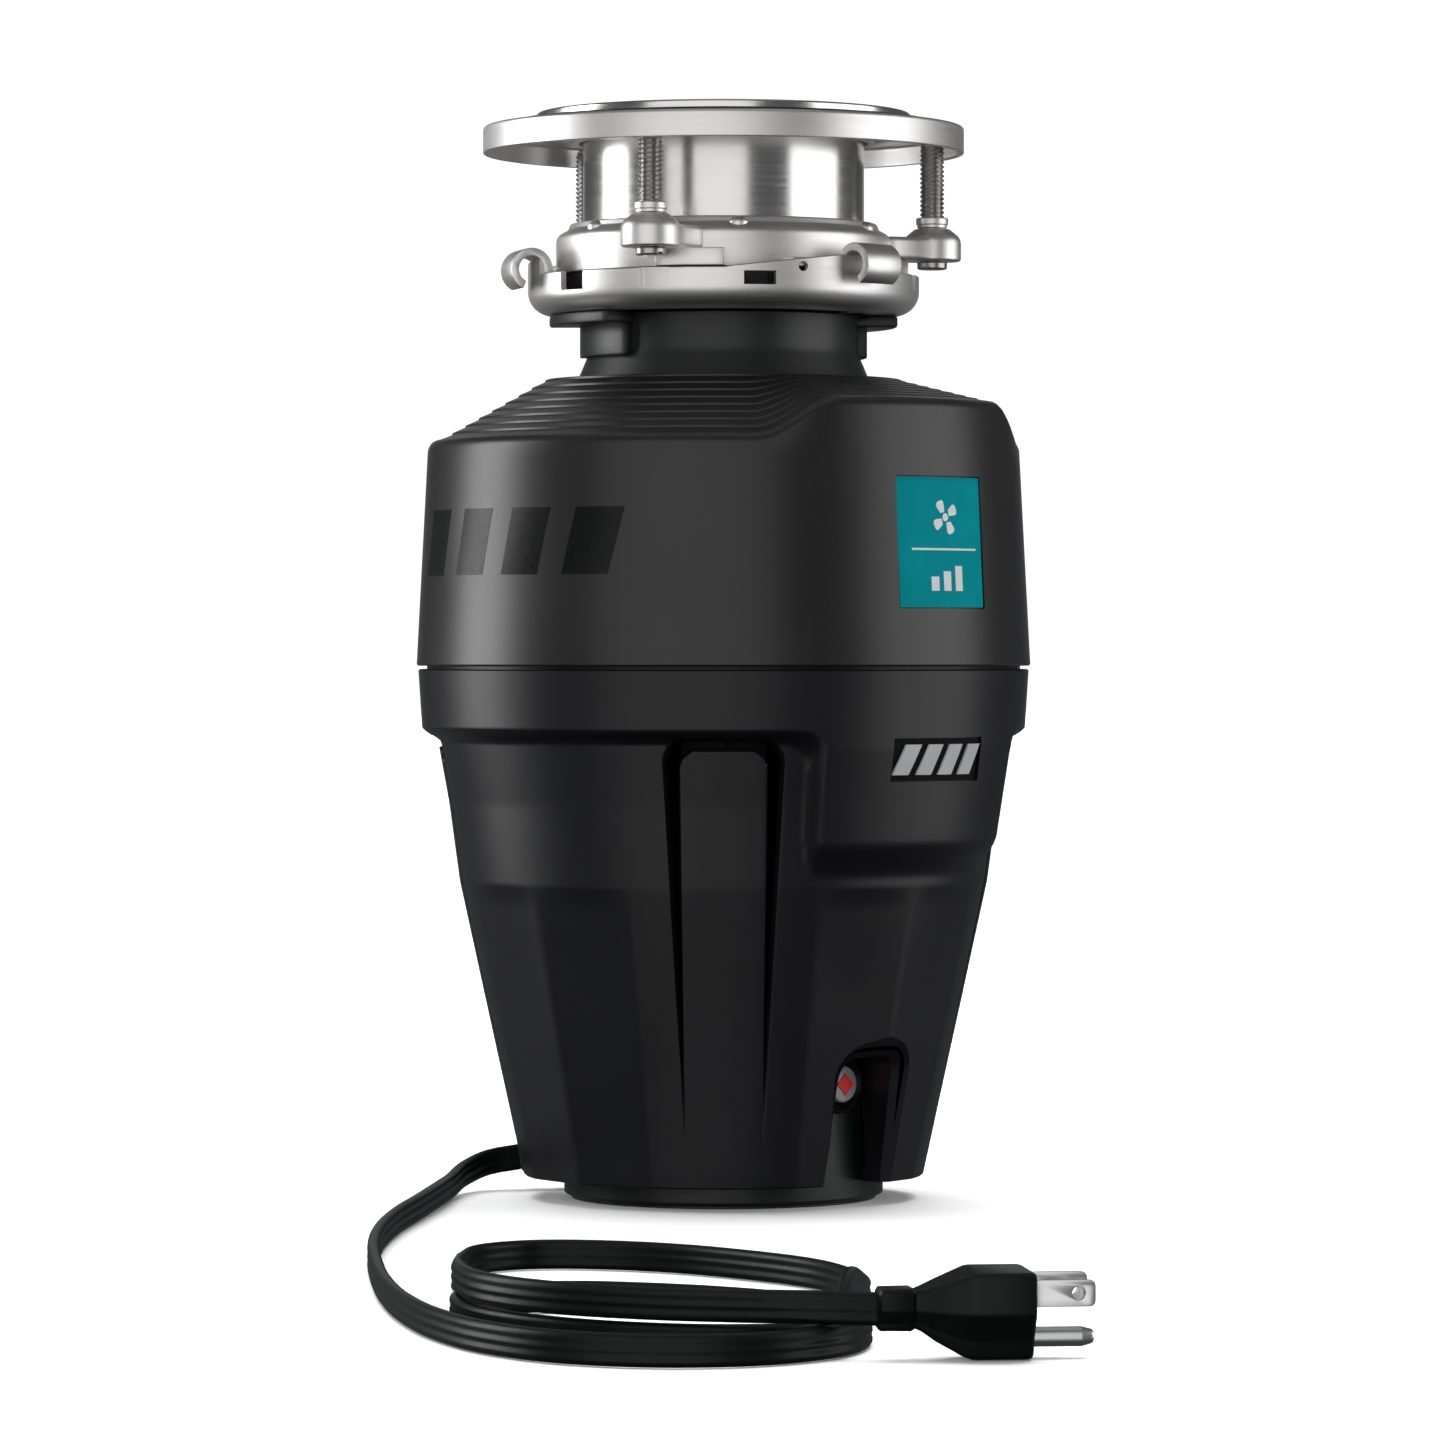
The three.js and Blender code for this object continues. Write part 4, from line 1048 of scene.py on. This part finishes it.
def mounting_screw(index, angle):
    """A threaded screw with a collar that rests on the boss and a slotted head below it."""
    at = turn(angle) @ shift(SCREW_R, 0, 0)
    look = "thread_steel"
    count = 32
    low, high = BOSS_TOP_Z + 3.2, SUPPORT_TOP_Z - 2.6
    rings = [[(x, y, low) for x, y in ring_outline(0.6, count)]]
    for z in spaced(low, high, 0.2) + [high]:
        fade = min(1, (high - z) / 2.5)
        ring = []
        for k in range(count):
            r = mix(2.6, thread_radius(z, k / count), fade)
            t = 2 * math.pi * k / count
            ring.append((r * math.cos(t), r * math.sin(t), z))
        rings.append(ring)
    thread = add_piece(f"screw_thread_{index}", *skin(rings, caps=True), look, 60, at)
    stand_in(thread)
    seat = BOSS_TOP_Z
    collar = [(0.5, seat + 0.3), (4.6, seat + 0.3, 0.2), (4.6, seat + 1.2, 0.3), (4.95, seat + 1.5, 0.2),
              (4.95, seat + 3.3, 0.4), (4.2, seat + 3.5, 0.2), (0.5, seat + 3.5)]
    stand_in(turned(f"screw_collar_{index}", collar, "satin_nickel", 40, 3, at))
    head_shape = rod(4.6, SCREW_HEAD_Z, BOSS_FOOT_Z - 0.3, 0.9, 0.2)
    head = turned(f"screw_head_{index}", head_shape, look, 40, 4, at)
    bar = rectangle(-6, 6, -0.7, 0.7)
    slot = prism("slot", bar, SCREW_HEAD_Z - 1, SCREW_HEAD_Z + 1, look, at @ turn(35 + angle))
    combine(head, [slot], "DIFFERENCE")
    stand_in(head, nodes=[f"mounting_screw_{index}"])


def swivel_top(bearing):
    """Height of the cup's top edge: each ear has a ramp that climbs to it."""
    top = CUP_TOP_Z
    for ear in EAR_ANGLES:
        offset = (bearing - ear + 180) % 360 - 180
        if RAMP_FROM < offset <= RAMP_TO:
            climb = (offset - RAMP_FROM) / (RAMP_TO - RAMP_FROM)
            top = max(top, mix(CUP_TOP_Z + 0.2, RAMP_TOP_Z, climb))
        elif RAMP_TO < offset <= RAMP_END:
            top = max(top, RAMP_TOP_Z)
    return top


def lower_mount_ring():
    """The pressed cup that turns on the neck's lugs, with a rolled ear for the wrench over each ramp."""
    look = "satin_nickel"
    foot = NECK_TOP_Z + 0.3
    wall = 2.0
    bend = 7.0
    columns = []
    changes = (RAMP_FROM, RAMP_FROM + 0.1, RAMP_TO, RAMP_END - 0.1, RAMP_END + 0.1)
    sharp = [ear + offset for ear in EAR_ANGLES for offset in changes]
    angles = sorted({round(a % 360, 3) for a in [2.0 * k for k in range(180)] + sharp})
    for bearing in angles:
        top = swivel_top(bearing)
        profile = [(CUP_HOLE_R, foot), (SWIVEL_R - bend, foot)]
        for k in range(1, 9):
            out, up = polar(bend, -90 + 90 * k / 8)
            profile.append((SWIVEL_R - bend + out, foot + bend + up))
        profile += [(SWIVEL_R, top - 0.3), (SWIVEL_R - 0.3, top), (SWIVEL_R - wall + 0.3, top),
                    (SWIVEL_R - wall, top - 0.3)]
        inner = bend - wall
        for k in range(5):
            out, up = polar(inner, -90 * k / 4)
            profile.append((SWIVEL_R - bend + out, foot + bend + up))
        profile += [(CUP_HOLE_R, foot + wall)]
        columns.append([(*polar(r, bearing), z) for r, z in profile])
    ring = add_piece("swivel_cup", *skin(columns, loop=True), look, 35)
    cutters = []
    for at, span, low, high in CUP_WINDOWS:
        cutters.append(prism("slot", sector(55.5, 70, at, span), low, high, look))
    at, span, low, high = CUP_DENT
    cutters.append(prism("shallow", sector(SWIVEL_R - 1.3, 70, at, span), low, high, look))
    for ear in EAR_ANGLES:
        at = turn(ear - 21.6) @ turn(90, "Y")
        cutters.append(prism("hole", ring_outline(1.5, 20, (-281.3, 0)), 50, 70, look, at))
    combine(ring, cutters, "DIFFERENCE")
    ears = []
    arc = range(-65, 201, 7)
    outline = [polar(6.45, a) for a in arc] + [polar(4, a) for a in reversed(arc)]
    for ear in EAR_ANGLES:
        at = turn(ear) @ shift(EAR_R, 0, EAR_Z) @ turn(90, "X")
        ears.append(prism("ear", outline, -7.25, 7.25, look, at, 0.3))
    combine(ring, ears, "UNION")
    stand_in(ring, body="lock_ring", nodes=["lower_mount_ring"])


def hopper_neck():
    """The hopper's neck with its three locking lugs, the dishwasher inlet and the discharge port."""
    look = "hopper_plastic"
    body = [(38, NECK_TOP_Z, 0.4), (38, 250, 2), (63, 229.5, 4), (68.2, 223, 2), (68.2, 174.3), (80, 174.3),
            (80, 178), (70.9, 178, 0.5), (70.9, 226, 3), (65.6, 232, 3), (46.6, 244, 3), (44.6, 249.5, 3),
            (NECK_R, 258, 9), (NECK_R, NECK_TOP_Z, 0.5)]
    neck = turned("hopper_neck", body, look, 128, 6)
    parts = []
    for at in LUG_ANGLES:
        plate = prism("lug", sector(NECK_R - 1, 53.2, at, 50), 265.6, NECK_TOP_Z, look, bevel=0.7)
        web = prism("web", sector(NECK_R - 1, NECK_R + 2.9, at, 48), 256.2, 266, look, bevel=0.5)
        parts += [plate, web]
    inlet_at = shift(0, 0, INLET_Z) @ turn(INLET_BEARING) @ turn(90, "Y")
    port_at = shift(0, 0, PORT_Z) @ turn(REAR) @ turn(90, "Y")
    inlet = turned("inlet", rod(9, 39.5, 60, 0, 0.6), look, 48, 3, inlet_at)
    pipe = [(PORT_BORE_R, 68.4), (PORT_R, 68.4), (PORT_R, 98, 0.6), (PORT_BORE_R, 98, 0.4)]
    port = turned("port", pipe, look, 64, 3, port_at)
    combine(neck, [*parts, inlet, port], "UNION")
    bores = [turned("bore", rod(6.5, 30, 70), look, 32, 1, inlet_at),
             turned("bore", rod(PORT_BORE_R, 60, 110), look, 64, 1, port_at)]
    combine(neck, bores, "DIFFERENCE")
    stand_in(neck, nodes=["hopper"])


# ---------------------------------------------------------------- foot, reset button, badge and plate

BUTTON_Z = 36.7
BUTTON_FACE = -frame_corner("reset_button", 0)[1]
BARS_FOOT_Z = 184.6
RULE_Z = 196.6
SIGN_Z = 206.4


def end_bell():
    """The motor's painted foot, with the pocket for the reset button and the boss that the lead leaves by."""
    look = "black_paint"
    inside = FOOT_R - 3
    corners = [(AXIS_R, 0), (46.5, 0, 0.5), (46.5, 0.8, 0.3), (FOOT_R, 1.6, 0.8), (FOOT_R, 56, 0.5),
               (inside, 56, 0.3), (inside, 11, 2), (15, 11, 0.5), (15, 24, 0.5), (11.3, 24, 0.3),
               (11.3, 13.5), (AXIS_R, 13.5)]
    bell = turned("motor_foot", corners, look, 128, 3)
    pocket = prism("pocket", ring_outline(9, 48), 40, 60, look, shift(0, 0, BUTTON_Z) @ turn(90, "X"))
    at = shift(*LEAD_BOSS_AT, 0) @ turn(LEAD_HEADING)
    boss = prism("boss", rectangle(-11, 0, -7.5, 7.5), 1.5, 18.5, look, at, 1)
    combine(bell, [boss], "UNION")
    combine(bell, [pocket], "DIFFERENCE")
    stand_in(bell, nodes=["motor_end_bell"])


def reset_button():
    """A dished bezel and a domed grey button with a red diamond on it."""
    facing = shift(0, 0, BUTTON_Z) @ turn(90, "X")
    rim = BUTTON_FACE - 1
    bezel = [(6, 41), (8.7, 41), (8.7, rim - 0.4, 0.5), (8.3, rim, 0.3), (6.2, rim - 1.6, 0.4),
             (6, rim - 2.6)]
    ring = turned("reset_bezel_ring", bezel, "gloss_black", 64, 4, facing)
    stand_in(ring, nodes=["reset_bezel"])
    shape = [(AXIS_R, 38.6), (5.6, 38.6), (5.6, BUTTON_FACE - 1.2, 0.3), (5.2, BUTTON_FACE - 0.4, 0.5),
             (AXIS_R, BUTTON_FACE)]
    button = turned("reset_cap", shape, "button_grey", 64, 5, facing)
    stand_in(button, body="reset", nodes=["reset_button"])
    half = 3.4
    outline = [(half, 0), (0, half), (-half, 0), (0, -half)]
    mark = prism("reset_mark", outline, BUTTON_FACE - 0.6, BUTTON_FACE + 0.12, "red_mark", facing)
    stand_in(mark, body="reset")


def badge():
    """The teal plate in the upper shell's pocket, with a plain impeller sign, a rule and three bars."""
    (left, right), (low, high) = BADGE
    clear = 0.3
    outline = rectangle(left + clear, right - clear, low + clear, high - clear)
    plate = wrapped("badge_plate", outline, upper_side, -1.15, -0.35, "teal")
    stand_in(plate, nodes=["badge"])
    middle = (left + right) / 2 + 1
    marks = [("badge_rule", rectangle(middle - 14, middle + 14, RULE_Z, RULE_Z + 0.6))]
    for k in range(3):
        x = middle - 5.2 + 5.2 * k
        height = 4.2 + 1.6 * k
        bar = rectangle(x - 1.6, x + 1.6, BARS_FOOT_Z, BARS_FOOT_Z + height)
        marks.append((f"badge_bar_{k + 1}", bar))
    for k in range(4):
        blade = rounded([(1.6, -0.2, 0.4), (5.6, -1.2, 1.6), (5.2, 2.8, 1.2), (1.9, 1.6, 0.5)], 4)
        cos, sin = polar(1, 90 * k + 20)
        swung = [(middle + x * cos - y * sin, SIGN_Z + x * sin + y * cos) for x, y in blade]
        marks.append((f"badge_blade_{k + 1}", swung))
    marks.append(("badge_hub", ring_outline(1.2, 24, (middle, SIGN_Z))))
    for name, outline in marks:
        stand_in(wrapped(name, outline, upper_side, -0.4, -0.3, "white_ink"))


def nameplate():
    """The lower shell's name panel, with plain raised bars where a name would stand."""
    half, low, high = NAME_PANEL
    outline = rectangle(-half, half, low, high)
    panel = wrapped("name_panel", outline, raised_side, -1.1, -0.75, "panel_black")
    stand_in(panel, nodes=["nameplate"])
    lean = 1.5
    foot, top = 130.2, 139.2
    for k in range(4):
        x = -13.2 + 8.8 * k
        at_foot = x - lean
        at_top = x + lean
        outline = [(at_foot - 3.4, foot), (at_foot + 2.4, foot), (at_top + 3.4, top), (at_top - 2.4, top)]
        bar = wrapped(f"name_bar_{k + 1}", outline, raised_side, -0.8, -0.15, "silver_mark")
        stand_in(bar)


def side_marks():
    """Four plain gloss bars on the upper shell's left side, in strips that follow its curve."""
    foot, top = 189.4, 209.2
    lean = 2
    half = 7.2
    strips = 12
    for k in range(4):
        middle = -34.5 + 23 * k
        rings = []
        for across in [mix(-half, half, n / strips) for n in range(strips + 1)]:
            at_foot = middle + across - lean
            at_top = middle + across + lean
            ring = []
            for x, z, lift in ((at_foot, foot, -0.3), (at_top, top, -0.3), (at_top, top, 0.06),
                               (at_foot, foot, 0.06)):
                ring.append(on_front(x, upper_side(z) + lift, z))
            rings.append(ring)
        bar = add_piece(f"side_bar_{k + 1}", *skin(rings, caps=True), "gloss_black", 35, turn(-92))
        stand_in(bar)


make_looks()
make_camera()
make_lights()
make_world()
make_floor()
dress_carried_nodes()
lead_and_plug()
upper_shell()
lower_shell()
sink_flange()
support_ring()
mounting_ring()
for number, bearing in enumerate(SCREW_ANGLES, 1):
    mounting_screw(number, bearing)
lower_mount_ring()
hopper_neck()
end_bell()
reset_button()
badge()
nameplate()
side_marks()
